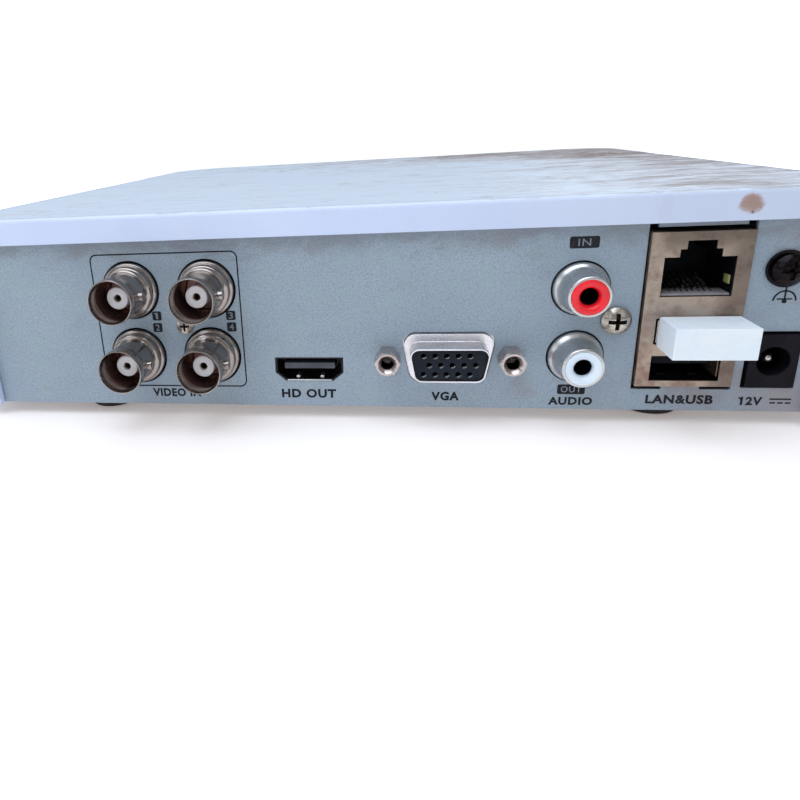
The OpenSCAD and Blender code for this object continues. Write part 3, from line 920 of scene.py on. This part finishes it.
def softened(
    node: str,
    width: float = 0.12,
    angle: float = 35.0,
    segments: int = 2,
    special: Optional[Callable[[Edge], float]] = None,
) -> Shape:
    """A copy of a frame node with its flat faces joined and its edges rounded.

    Args:
        node: The frame node.
        width: How wide its edges are rounded.
        angle: The least angle at which an edge counts as sharp, in degrees.
        segments: Steps across each edge.
        special: Gives an edge a width of its own, or 0 to leave it to the rest.

    Returns:
        The copy, in millimetres.
    """
    shape = bmesh.new()
    shape.from_mesh(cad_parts[node].data)
    bmesh.ops.scale(shape, vec=(1 / MM,) * 3, verts=shape.verts[:])
    bmesh.ops.remove_doubles(shape, verts=shape.verts[:], dist=0.002)
    bmesh.ops.dissolve_limit(
        shape, angle_limit=math.radians(0.8), verts=shape.verts[:], edges=shape.edges[:]
    )

    def sharp() -> list[Edge]:
        """The edges that are still sharp."""
        return [
            edge for edge in shape.edges
            if edge.is_manifold and edge.calc_face_angle(0) > math.radians(angle)
        ]

    if special is not None:
        chosen = [(edge, special(edge)) for edge in sharp()]
        for size in sorted({s for _, s in chosen if s > 0}, reverse=True):
            rounded(shape, [edge for edge, s in chosen if s == size and edge.is_valid], size, 5)
    if width:
        rounded(shape, sharp(), width, segments)
    return shape


def piece(
    shapes: Iterable[Shape],
    name: str,
    finish: Finish,
    body: Body = Body.BASE,
    stands_for: Sequence[str] = (),
    even: bool = False,
) -> bpy.types.Object:
    """Joins shapes into one piece, dresses it and lets it ride on its body.

    Args:
        shapes: The shapes, in millimetres.
        name: The piece's name.
        finish: Its finish.
        body: The body it rides on.
        stands_for: The frame nodes that it replaces.
        even: Whether its normals are weighted by the size of its faces.

    Returns:
        The finished object.
    """
    whole = bmesh.new()
    for shape in shapes:
        bmesh.ops.remove_doubles(shape, verts=shape.verts[:], dist=MERGE)
        bmesh.ops.recalc_face_normals(shape, faces=shape.faces[:])
        bmesh.ops.scale(shape, vec=(MM,) * 3, verts=shape.verts[:])
        part = bpy.data.meshes.new("part")
        shape.to_mesh(part)
        shape.free()
        whole.from_mesh(part)
        bpy.data.meshes.remove(part)
    mesh = bpy.data.meshes.new(name)
    whole.to_mesh(mesh)
    whole.free()
    mesh.polygons.foreach_set("material_index", [0] * len(mesh.polygons))
    mesh.polygons.foreach_set("use_smooth", [True] * len(mesh.polygons))
    mesh.set_sharp_from_angle(angle=math.radians(SHADE_ANGLE))
    made = bpy.data.objects.new(name, mesh)
    bpy.context.scene.collection.objects.link(made)
    mesh.materials.clear()
    mesh.materials.append(finish.material())
    if even:
        weights = made.modifiers.new("even_shading", "WEIGHTED_NORMAL")
        weights.keep_sharp = True
    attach(made, body.value)
    if stands_for:
        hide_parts(*stands_for)
    LOG.info("%s: %d faces, %s, on %s", name, len(mesh.polygons), finish.title, body.value)
    return made


def refined(
    node: str, finish: Finish, body: Body = Body.BASE, width: float = 0.12, **shape: Any
) -> bpy.types.Object:
    """Shows a frame node with rounded edges and its real finish.

    Args:
        node: The frame node.
        finish: Its finish.
        body: The body it rides on.
        width: How wide its edges are rounded.
        **shape: Other arguments of softened.

    Returns:
        The piece that stands for it.
    """
    return piece([softened(node, width, **shape)], f"{node}_finished", finish, body, [node], True)


# ---------------------------------------------------------------- sub-assemblies


@dataclass
class Housing:
    """The white cover, the bent steel tray with its rear panel, and the feet."""

    top_round: float = 0.9
    front_corner: float = 22.0
    rear_corner: float = 8.0

    def build(self) -> None:
        """Builds and dresses the housing's pieces."""
        low, high = corners("top_cover")

        def edge_width(edge: Edge) -> float:
            """Rounds the cover's outer top edge most."""
            heights = [vert.co.z for vert in edge.verts]
            rim = all(self.on_outline(vert.co, low, high) for vert in edge.verts)
            return self.top_round if min(heights) > high.z - 0.01 and rim else 0.0

        refined("top_cover", COVER, Body.COVER, 0.12, special=edge_width, segments=1)
        refined("chassis", PANEL, width=0.1, segments=1)
        for i in FOUR:
            refined(f"foot_{i}", RUBBER, width=0.5, segments=3)
        refined("cover_screws", ZINC, width=0.06)
        refined("light_guide", GUIDE, Body.COVER, 0.15)

    def on_outline(self, at: Vector, low: Vector, high: Vector) -> bool:
        """Whether a point is on the cover's outer wall rather than in its groove."""
        for radius, edge, way in ((self.front_corner, high.y, 1), (self.rear_corner, low.y, -1)):
            mid_x, mid_y = high.x - radius, edge - way * radius
            beyond = (abs(at.x) - mid_x, way * (at.y - mid_y))
            if min(beyond) > 0:
                return abs(math.hypot(*beyond) - radius) < 0.3
        sides = (high.x - abs(at.x), high.y - at.y, at.y - low.y)
        return min(sides) < 0.3


@dataclass
class Printing:
    """Dark ink on the rear panel: a frame round the video sockets, numbers and words."""

    proud: float = 0.03
    rooted: float = 0.02
    line: float = 0.3

    def at(self, x: float, z: float, lift: float = 0.0) -> Vector:
        """A point on the ink's outer face."""
        return on_face(x, z, self.proud + lift)

    def build(self) -> None:
        """Builds the printed pieces."""
        thick = self.proud + self.rooted
        piece(
            [card(self.at(-41.9, 22.85), 33.6, 30.9, 1.6, thick, self.line)],
            "print_video_frame", INK,
        )
        tiles = {"1": (-44.6, 24.2), "2": (-44.7, 21.5), "3": (-27.6, 24.1), "4": (-27.6, 21.5)}
        piece(
            [card(self.at(x, z), 2.1, 2.1, 0.35, thick) for x, z in tiles.values()],
            "print_number_tiles", INK,
        )
        piece(
            [
                lettering(digit, self.at(x, z, self.proud), 0.5 if digit == "1" else 1, 1.45, 0.01)
                for digit, (x, z) in tiles.items()
            ]
            + [stroke(self.at(-44.9, 24.65, self.proud), 0.6, 0.22, -40, 0.01)],
            "print_numbers", LIGHT_INK,
        )
        words = [
            ("VIDEO IN", -42.05, 5.9, 11.5, 2.0), ("HD OUT", -11.2, 5.95, 12.2, 2.1),
            ("VGA", 18.3, 5.6, 5.8, 2.0), ("AUDIO", 43.6, 4.8, 8.6, 1.8),
            ("LAN&USB", 64.25, 5.4, 12.5, 1.95), ("12V", 77.4, 5.2, 3.9, 1.8),
        ]
        piece(
            [
                lettering(text, self.at(x, z), width, height, 0.04)
                for text, x, z, width, height in words
            ]
            + [stroke(self.at(75.38, 5.72), 0.75, 0.3, -42, thick)],
            "print_words", INK,
        )
        plates = [("IN", 43.7, 37.75, 2.3, 2.3, 1.4), ("OUT", 43.6, 7.4, 2.15, 4.0, 1.35)]
        piece(
            [card(self.at(x, z), 5.4, tall, 0.4, thick) for _, x, z, tall, _, _ in plates],
            "print_audio_plates", INK,
        )
        piece(
            [
                lettering(text, self.at(x, z, self.proud), width, height, 0.005)
                for text, x, z, _, width, height in plates
            ],
            "print_audio_words", LIGHT_INK,
        )
        dashes = [card(self.at(81.2 + 1.35 * i, 4.85), 1.0, 0.32, 0.05, thick) for i in range(3)]
        line = card(self.at(82.5, 5.65), 3.8, 0.32, 0.05, thick)
        piece([line, *dashes], "print_direct_current", INK)
        self.ground_sign()

    def ground_sign(self) -> None:
        """A half ring over a short bar with its stem."""
        x, z = 79.8, 26.0
        low, high = -self.rooted, self.proud
        profile = [(1.75, low), (2.05, low), (2.05, high), (1.75, high)]
        arc = turned(profile, on_face(x, z - 0.4), steps=24, angle=math.pi, start=-math.pi / 2)
        bars = [
            card(self.at(x, z + 1.05), 0.3, 2.5, 0.05, 0.05),
            card(self.at(x, z - 0.05), 2.6, 0.28, 0.05, 0.05),
            card(self.at(x, z - 0.5), 0.85, 0.7, 0.3, 0.05),
        ]
        piece([arc, *bars], "print_ground_sign", INK)


@dataclass
class VideoSockets:
    """Four bayonet sockets with their insulators, contacts and black housing."""

    reach: float = 11.6
    bore: float = 4.1
    recess: float = 4.2
    lug_out: float = 6.4
    lug_root: float = 4.55
    leaf_angle: float = 66.0

    def shell(self, at: Vector) -> list[Shape]:
        """One socket's turned shell with its two bayonet lugs."""
        head = self.reach
        profile = [
            (2.5, -12), (6.2, -12), (6.2, 0.4), (6.12, 0.7), (5.96, 0.86), (5.76, 0.9),
            (5.64, 0.98), (5.6, 1.15), (5.6, 2.1), (5.5, 2.4), (5.3, 2.56), (5.05, 2.6),
            (4.85, 2.7), (4.67, 2.95), (4.6, 3.35), (4.6, head - 2.8), (4.64, head - 2.66),
            (4.78, head - 2.55), (4.85, head - 2.4), (4.85, head - 0.3), (4.83, head - 0.12),
            (4.76, head - 0.02), (4.68, head), (4.6, head - 0.04), (4.54, head - 0.16),
            (4.2, head - 1.7), (self.bore, head - 2.0), (self.bore, 1.6), (3.9, 1.4), (2.5, 1.4),
        ]
        lug = [(0, -0.3), (1.0, -0.3), (1.0, 0.75), (0.93, 0.93), (0.75, 1.0), (0, 1.0)]
        shapes = [turned(profile, at, steps=72)]
        for way in (SIDE, -SIDE):
            root = at + OUT * self.lug_out + way * self.lug_root
            shapes.append(turned(lug, root, way, 20, closed=False))
        return shapes

    def contact(self, at: Vector) -> list[Shape]:
        """One centre contact: a tube whose mouth is split in four."""
        front = self.reach - self.recess - 0.75
        tube = [(0.67, 2.0), (1.1, 2.0), (1.1, front - 1.6), (0.67, front - 1.6)]
        leaf = [
            (0.67, front - 1.65), (1.1, front - 1.65), (1.1, front - 0.25), (0.98, front),
            (0.78, front), (0.67, front - 0.15),
        ]
        angle, first = math.radians(self.leaf_angle), math.radians((90 - self.leaf_angle) / 2)
        leaves = [
            turned(leaf, at, steps=5, angle=angle, start=first + TURN * i / 4) for i in range(4)
        ]
        stem = [(0, -9.8), (1.1, -9.8), (1.1, 2.0), (0, 2.0)]
        return [turned(stem, at, steps=20, closed=False), turned(tube, at, steps=20), *leaves]

    def build(self) -> None:
        """Builds the four sockets."""
        front = self.reach - self.recess
        body = [
            (1.12, -9.9), (2.5, -9.9), (2.5, 1.4), (2.4, 1.4), (2.4, front - 0.2),
            (2.3, front - 0.05), (2.15, front), (1.0, front), (0.86, front - 0.06),
            (0.82, front - 0.2), (0.82, front - 0.7), (1.12, front - 0.72),
        ]
        for i in FOUR:
            spot = centre(f"bnc_shell_{i}")
            at = on_face(spot.x, spot.z)
            for part, shapes, finish in (
                ("shell", self.shell(at), BARREL),
                ("insulator", [turned(body, at)], INSULATOR),
                ("contact", self.contact(at), BRASS),
            ):
                piece(shapes, f"video_{part}_{i}", finish, stands_for=[f"bnc_{part}_{i}"])
        refined("bnc_housing", BLACK, width=0.2)
        refined("bnc_screw", ZINC, width=0.05)
        recess_dirt_and_shade("bnc_screw", 3.8, 1.0)


@dataclass
class DigitalSocket:
    """The flat digital video socket with its tongue, contacts and spring tabs."""

    contacts: int = 10
    tabs: Point = (-2.6, 2.75)

    def build(self) -> None:
        """Builds the socket."""
        # painted shade: the shell in shaded nickel.
        refined("hd_shell", SHADED_NICKEL, width=0.1)
        refined("hd_tongue", TONGUE, width=0.1)
        spot = centre("hd_shell")
        under = (spot.z - 0.26, spot.z - 0.21)
        strips = [
            bar(about(spot.x - 4.6 + i, 0.2), under, (-1.6, -8), 0) for i in range(self.contacts)
        ]
        piece(strips, "digital_contacts", BRASS)
        tabs = [
            bar(about(spot.x + dx, 0.5), (spot.z - 2.38, spot.z - 1.62), (-0.75, -3.2), 0.28, 3)
            for dx in self.tabs
        ]
        # painted highlight: a bright strip for the lit lower edge of the shell.
        highlight = bar(about(spot.x, 5.0), (spot.z - 2.78, spot.z - 2.4), (-0.12, -0.6), 0.15, 3)
        piece([*tabs, highlight], "digital_spring_tabs_and_highlight", BRIGHT_NICKEL)


@dataclass
class MonitorSocket:
    """The fifteen-hole monitor socket with its shell and jack-screws."""

    pitch_x: float = 2.29
    pitch_z: float = 1.98
    stagger: float = 0.25
    screw_pitch: float = 24.99
    thread_pitch: float = 0.17

    def build(self) -> None:
        """Builds the socket."""
        refined("vga_shell", LIP_NICKEL, width=0.16, angle=45, segments=3)
        refined("vga_insert", MONITOR_FACE, width=0.06, angle=50, segments=1)
        refined("vga_jackscrews", NICKEL, width=0.2, angle=40)
        spot = centre("vga_shell")
        tube = [(0.36, 1.2), (0.53, 1.2), (0.53, 4.6), (0.36, 4.4)]
        # painted highlight: a bright partial ring at the lower right of each hole's mouth, where
        # the glint falls.
        highlight = [(0.34, 5.12), (0.54, 4.9), (0.56, 5.43), (0.5, 5.43)]
        middle = centre("vga_jackscrews").z
        spots = [
            on_face(spot.x + (column + shift) * self.pitch_x, middle + row * self.pitch_z)
            for row, shift in ((-1, -self.stagger), (0, self.stagger), (1, -self.stagger))
            for column in range(-2, 3)
        ]
        # painted shade: the contact tubes in shaded nickel, dark in the holes.
        piece([turned(tube, at, steps=14) for at in spots], "monitor_contacts", SHADED_NICKEL)
        angle, start = math.radians(100), math.radians(155)
        highlights = [turned(highlight, at, steps=8, angle=angle, start=start) for at in spots]
        piece(highlights, "monitor_contact_glints", BRIGHT_NICKEL)
        thread = [(1.24, 0.8), (1.24, 4.4)]
        thread += [(1.2 - 0.14 * (i % 2), 4.3 - self.thread_pitch * i) for i in range(20)]
        holes = [on_face(x, spot.z) for x in about(spot.x, self.screw_pitch / 2)]
        piece([turned(thread, at, steps=24) for at in holes], "monitor_threads", BLACK_STEEL)


@dataclass
class AudioSockets:
    """Two round audio sockets: nickel barrels with coloured rings, and their housing."""

    reach: float = 7.6

    def build(self) -> None:
        """Builds both sockets."""
        end = self.reach
        barrel = [
            (3.17, -3), (5.25, -3), (5.25, 0.4), (5.21, 0.72), (5.09, 0.98), (4.9, 1.16),
            (4.68, 1.34), (4.48, 1.6), (4.28, 1.98), (4.12, 2.5), (4.03, 3.1), (4.0, 3.6),
            (4.0, end - 0.55), (3.94, end - 0.26), (3.79, end - 0.07), (3.58, end),
            (3.36, end - 0.03), (3.21, end - 0.12), (3.17, end - 0.3),
        ]
        ring = [
            (1.65, -3), (3.14, -3), (3.14, end + 0.02), (3.36, end + 0.02), (3.36, end + 0.1),
            (3.28, end + 0.22), (3.1, end + 0.28),
            (2.8, end + 0.3), (2.58, end + 0.29), (2.3, end + 0.2), (2.02, end - 0.02),
            (1.8, end - 0.36), (1.69, end - 0.8), (1.65, end - 1.3),
        ]
        # painted shade: a black lining that darkens each bore deeper in.
        core = [(1.5, -2.9), (1.64, -2.9), (1.64, end - 1.0), (1.5, end - 1.2)]
        for side, finish in (("in", RED_RING), ("out", WHITE_RING)):
            spot = centre(f"rca_shell_{side}")
            at = on_face(spot.x, spot.z)
            piece([turned(barrel, at, steps=64)], f"audio_barrel_{side}", BRIGHT_NICKEL,
                  stands_for=[f"rca_shell_{side}"])
            piece([turned(ring, at, steps=64)], f"audio_ring_{side}", finish,
                  stands_for=[f"rca_ring_{side}"])
            piece([turned(core, at, steps=40)], f"audio_shaded_bore_lining_{side}", BLACK)
        refined("rca_housing", BLACK, width=0.2)
        refined("rca_screw", ZINC, width=0.08)
        recess_dirt_and_shade("rca_screw", 5.6, 1.9)


@dataclass
class NetworkBlock:
    """The plated block that holds the network jack over two USB ports."""

    rj_low: float = 26.9
    usb_mids: Point = (12.35, 20.0)
    network_pitch: float = 1.02
    usb_pitch: float = 2.4
    rib_lean: float = 12.0

    def build(self) -> None:
        """Builds the block and what shows in its mouths."""
        refined("lan_shield", SHIELD, width=0.24, segments=3)
        refined("lan_insert", BLACK, width=0.1)
        refined("lan_contacts", PIN_TIN, width=0.04, segments=1)
        refined("usb_core", BLACK, width=0.08)
        x, low = centre("lan_shield").x, self.rj_low
        pipe = bar((x + 5.9, x + 6.17), (low + 2.0, low + 3.7), (-0.5, -2.9), 0.12)
        piece([pipe], "network_lamp_window", LIGHT_PIPE)
        # painted light: the floor of the jack's mouth in light grey.
        ledge = bar(about(x, 6.12), (low + 0.03, low + 0.5), (0.42, -4.2), 0.2)
        piece([ledge], "network_mouth_ledge", LIT_JACK_FLOOR)
        lean = Matrix.Rotation(math.radians(self.rib_lean), 3, "X")
        ribs = []
        for i in range(8):
            at = x + (i - 3.5) * self.network_pitch
            rib = bar(about(at, 0.26), (low + 0.5, low + 0.72), (-3.6, -9.6), 0.05, 1)
            root = on_face(at, low + 0.5, -3.6)
            bmesh.ops.rotate(rib, cent=root, matrix=lean, verts=rib.verts[:])
            ribs.append(rib)
        piece(ribs, "network_contact_ribs", PIN_TIN)
        strips = [
            bar(about(x + (i - 1.5) * self.usb_pitch, 0.5), (mid + 0.15, mid + 0.25),
                (-1.7, -11.8), 0.03, 1)
            for mid in self.usb_mids for i in range(4)
        ]
        piece(strips, "usb_contacts", BRASS)
        mid = self.usb_mids[0]
        # painted shade: the floor springs in shaded nickel.
        springs = [
            bar(about(x + dx, 0.9), (mid - 2.5, mid - 2.28), (-2.4, -6), 0.06) for dx in (-3.0, 3.0)
        ]
        piece(springs, "usb_floor_springs", SHADED_NICKEL)
        side = bar((x + 5.95, x + 6.22), about(mid, 1.9), (0.35, -6), 0.06)
        piece([side], "usb_side_spring", SHIELD)


@dataclass
class PowerInlet:
    """The round power socket and the earthing screw beside it."""

    pin: float = 1.0
    head: float = 5.8
    head_height: float = 2.2

    def build(self) -> None:
        """Builds the inlet, its pin and the earthing screw."""
        refined("dc_body", INLET, width=0.18)
        low, high = corners("dc_pin")
        spot = centre("dc_pin")
        out, back = FACE - low.y, FACE - high.y
        tip = [
            (0, out - 1.1), (0.3, out - 1.14), (0.62, out - 1.3), (0.86, out - 1.62),
            (self.pin, out - 2.1), (self.pin, back + 2), (self.pin + 0.5, back + 2),
            (self.pin + 0.5, back), (0, back),
        ]
        pin = turned(tip, on_face(spot.x, spot.z), steps=32, closed=False)
        piece([pin], "power_pin", NICKEL, stands_for=["dc_pin"])
        refined("ground_screw", BLACK_STEEL, width=0.08)
        refined("ground_washer", BLACK_STEEL, width=0.12)
        recess_dirt_and_shade("ground_screw", self.head, self.head_height)


@dataclass
class Dongle:
    """The small white wireless plug in the upper USB port."""

    soft: float = 0.55

    def build(self) -> None:
        """Builds the cap and its plug."""
        refined("dongle_cap", DONGLE_WHITE, Body.DONGLE, self.soft, segments=4)
        refined("dongle_plug", NICKEL, Body.DONGLE, 0.08)


@dataclass
class Board:
    """The circuit board with its parts."""

    seed: int = 7
    small_count: int = 70
    leg_count: int = 10
    small_height: float = 0.8
    obstacles: tuple[str, ...] = (
        "bnc_housing", "vga_insert", "hd_tongue", "rca_housing", "lan_shield", "dc_body",
        "heatsink", "memory_chip", "capacitor", "cell_holder", "buzzer", "disk_socket",
    )
    screws: tuple[Point, ...] = ((-72, 10), (-72, 65), (72, 65), (30, 36))

    def build(self) -> None:
        """Builds the board and what stands on it."""
        for node, finish, width, segments in (
            ("main_board", BOARD, 0.08, 1), ("board_screws", ZINC, 0.06, 2),
            ("processor", CHIP, 0.15, 2), ("heatsink", SOFT_ALLOY, 0.12, 2),
            ("memory_chip", CHIP, 0.12, 2), ("capacitor", SLEEVE, 0.5, 4),
            ("coin_cell", CELL, 0.35, 3), ("cell_holder", BLACK, 0.15, 2),
            ("buzzer", BLACK, 0.35, 3), ("disk_socket", BLACK, 0.2, 2),
        ):
            refined(node, finish, width=width, segments=segments)
        self.legs()
        self.small_parts()

    def legs(self) -> None:
        """Legs along both long sides of the memory chip."""
        low, high = corners("memory_chip")
        legs = []
        for i in range(self.leg_count):
            x = low.x + (i + 0.5) * (high.x - low.x) / self.leg_count
            for y, way in ((low.y, -1), (high.y, 1)):
                inner = Vector((x - 0.2, y + way * 0.02, low.z + 0.01))
                outer = Vector((x + 0.2, y + way * 1.1, low.z + 0.2))
                legs.append(block(inner, outer, 0.04, 1))
        piece(legs, "memory_legs", ZINC)

    def small_parts(self) -> None:
        """Rows of small capacitors with tinned ends, in the board's free places."""
        chance = random.Random(self.seed)
        top = corners("main_board")[1].z
        taken = [corners(node) for node in self.obstacles]
        low, high = corners("main_board")
        spots: list[tuple[float, float, bool]] = []
        while len(spots) < self.small_count:
            x, y = chance.uniform(-72, 60), chance.uniform(low.y + 18, high.y - 4)
            along = chance.random() < 0.5
            clear = all(
                not (a.x - 3 < x < b.x + 3 and a.y - 3 < y < b.y + 3) for a, b in taken
            )
            clear = clear and all(math.hypot(x - sx, y - FACE - sy) > 6 for sx, sy in self.screws)
            clear = clear and all(math.hypot(x - px, y - py) > 3.2 for px, py, _ in spots)
            if clear:
                spots.append((x, y, along))
        body_height, end_height = UP * self.small_height, UP * (self.small_height + 0.03)
        bodies, ends = [], []
        for x, y, along in spots:
            half = Vector((0.62, 0.5, 0)) if along else Vector((0.5, 0.62, 0))
            step = Vector((0.8, 0, 0)) if along else Vector((0, 0.8, 0))
            at = Vector((x, y, top + 0.01))
            bodies.append(block(at - half, at + half + body_height, 0.05, 1))
            for way in (-1, 1):
                mid = at + step * way
                size = Vector((0.18, 0.5, 0)) if along else Vector((0.5, 0.18, 0))
                ends.append(block(mid - size, mid + size + end_height, 0.05, 1))
        piece(bodies, "small_part_bodies", CERAMIC)
        piece(ends, "small_part_ends", ZINC)


@dataclass
class Disk:
    """The hard disk with its cover plate, platters and arm."""

    label_half: Point = (43.0, 33.0)
    screws_at: Point = (68.0, 45.0)

    def build(self) -> None:
        """Builds the disk's pieces."""
        refined("disk_base", SOFT_ALLOY, width=0.4)
        refined("disk_lid", SOFT_ALLOY, width=0.35)
        refined("disk_platters", CELL, Body.PLATTERS, 0.15)
        refined("disk_actuator", SOFT_ALLOY, Body.ACTUATOR, 0.15)
        refined("disk_screws", ZINC, width=0.06)
        mid, top = centre("disk_lid"), corners("disk_lid")[1].z
        on_lid = Vector((mid.x, mid.y, top + 0.005))
        half = Vector((*self.label_half, 0))
        label = block(on_lid - half, on_lid + half + UP * 0.115, 0.05, 1)
        piece([label], "disk_label", LABEL)
        head = [(0, 0.75), (1.1, 0.7), (1.6, 0.45), (1.75, 0), (0, 0)]
        across, along = self.screws_at
        spots = [
            on_lid + Vector((x * across, y * along, 0)) for x in (-1, 1) for y in (-1, 0, 1)
        ]
        piece([turned(head, at, UP, 24, closed=False) for at in spots], "disk_lid_screws", ZINC)


@dataclass
class Cables:
    """The flat data and power cables between disk and board."""

    soft: float = 0.3

    def build(self) -> None:
        """Builds both cables."""
        refined("data_cable", RED_CABLE, width=self.soft)
        refined("power_cable", BLACK_CABLE, width=self.soft)


LAMPS = (
    ("sky", (-0.2, -0.3, 1.0), 1.1, 9.3, (0.9, 0.955, 1.06)),
    ("window", (-0.55, -0.85, 0.5), 0.6, 0.95, (0.94, 0.98, 1.0)),
    ("fill", (0.6, -0.7, 0.5), 0.6, 0.4, (1.0, 0.98, 0.95)),
    ("side", (-1.15, -0.3, 0.3), 0.5, 1.1, (0.94, 0.97, 1.0)),
    ("back", (0.5, 1.0, 0.6), 0.6, 1.3, (0.97, 0.98, 1.0)),
)


@dataclass
class Studio:
    """The camera, lights and floor."""

    eye: tuple[float, float, float] = (0.0097, -0.2250, 0.0612)
    turn: tuple[float, float, float] = (70.73, 3.47, 10.11)
    lens: float = 29.97
    shift: tuple[float, float] = (0.1516, -0.0437)
    ambient: float = 0.28
    backdrop: float = 1.08
    aim: tuple[float, float, float] = (0.0, -0.05, 0.02)
    floor_half: float = 0.9
    glow_near: float = 180.0
    glow_far: float = 640.0

    def build(self) -> None:
        """Sets up the studio."""
        camera = bpy.data.cameras.new("view")
        camera.lens, camera.sensor_width, camera.clip_start = self.lens, 36.0, 0.005
        camera.shift_x, camera.shift_y = self.shift
        stand = bpy.data.objects.new("view", camera)
        stand.location = self.eye
        stand.rotation_euler = [math.radians(angle) for angle in self.turn]
        bpy.context.scene.collection.objects.link(stand)
        bpy.context.scene.camera = stand
        for lamp in LAMPS:
            self.lamp(*lamp)
        self.floor()
        world = bpy.data.worlds.new("room")
        world.use_nodes = True
        back = world.node_tree.nodes["Background"]
        back.inputs["Color"].default_value = (0.93, 0.97, 1.0, 1)
        ray = world.node_tree.nodes.new("ShaderNodeLightPath")
        level = world.node_tree.nodes.new("ShaderNodeMapRange")
        level.inputs["To Min"].default_value = self.ambient
        level.inputs["To Max"].default_value = self.backdrop
        world.node_tree.links.new(ray.outputs["Is Camera Ray"], level.inputs["Value"])
        world.node_tree.links.new(level.outputs["Result"], back.inputs["Strength"])
        bpy.context.scene.world = world
        bpy.context.scene.view_settings.view_transform = "Standard"

    def lamp(
        self, name: str, at: Sequence[float], size: float, power: float, tint: Colour
    ) -> None:
        """Adds one soft lamp.

        Args:
            name: The lamp's name.
            at: Its place in metres.
            size: Its width in metres.
            power: Its power in watts.
            tint: Its colour.
        """
        lamp = bpy.data.lights.new(name, "AREA")
        lamp.size, lamp.energy, lamp.color = size, power, tint
        holder = bpy.data.objects.new(name, lamp)
        holder.location = at
        ray = Vector(self.aim) - Vector(at)
        holder.rotation_euler = ray.to_track_quat("-Z", "Y").to_euler()
        bpy.context.scene.collection.objects.link(holder)

    def floor(self) -> None:
        """A plain pale floor that glows with distance, so it fades into the backdrop."""
        shape = bmesh.new()
        bmesh.ops.create_grid(shape, x_segments=1, y_segments=1, size=self.floor_half)
        mesh = bpy.data.meshes.new("floor")
        shape.to_mesh(mesh)
        shape.free()
        floor = bpy.data.objects.new("floor", mesh)
        bpy.context.scene.collection.objects.link(floor)
        graph = Graph("floor_paint")
        cloud = graph.noise(90, 3)
        base = graph.blend(cloud, (0.93, 0.925, 0.92), (0.9, 0.895, 0.89))
        x, y, _ = graph.axes(graph.place)
        far = (x * x + y * y).fit(self.glow_near ** 2, self.glow_far ** 2)
        glow = graph.blend(far, (0.24, 0.2, 0.18), (0.85, 0.87, 0.88))
        lit = {"Emission Color": glow, "Emission Strength": 1.0}
        mesh.materials.append(graph.surface(base, 0.7 + cloud * 0.1, constants=lit))


def main() -> None:
    """Builds the recorder in order."""
    logging.basicConfig(level=logging.INFO, format="%(name)s: %(message)s")
    assemblies = [
        Studio(), Housing(), Printing(), VideoSockets(), DigitalSocket(), MonitorSocket(),
        AudioSockets(), NetworkBlock(), PowerInlet(), Dongle(), Board(), Disk(), Cables(),
    ]
    for assembly in assemblies:
        LOG.info("building %s", type(assembly).__name__)
        assembly.build()


if __name__ == "__main__":
    main()
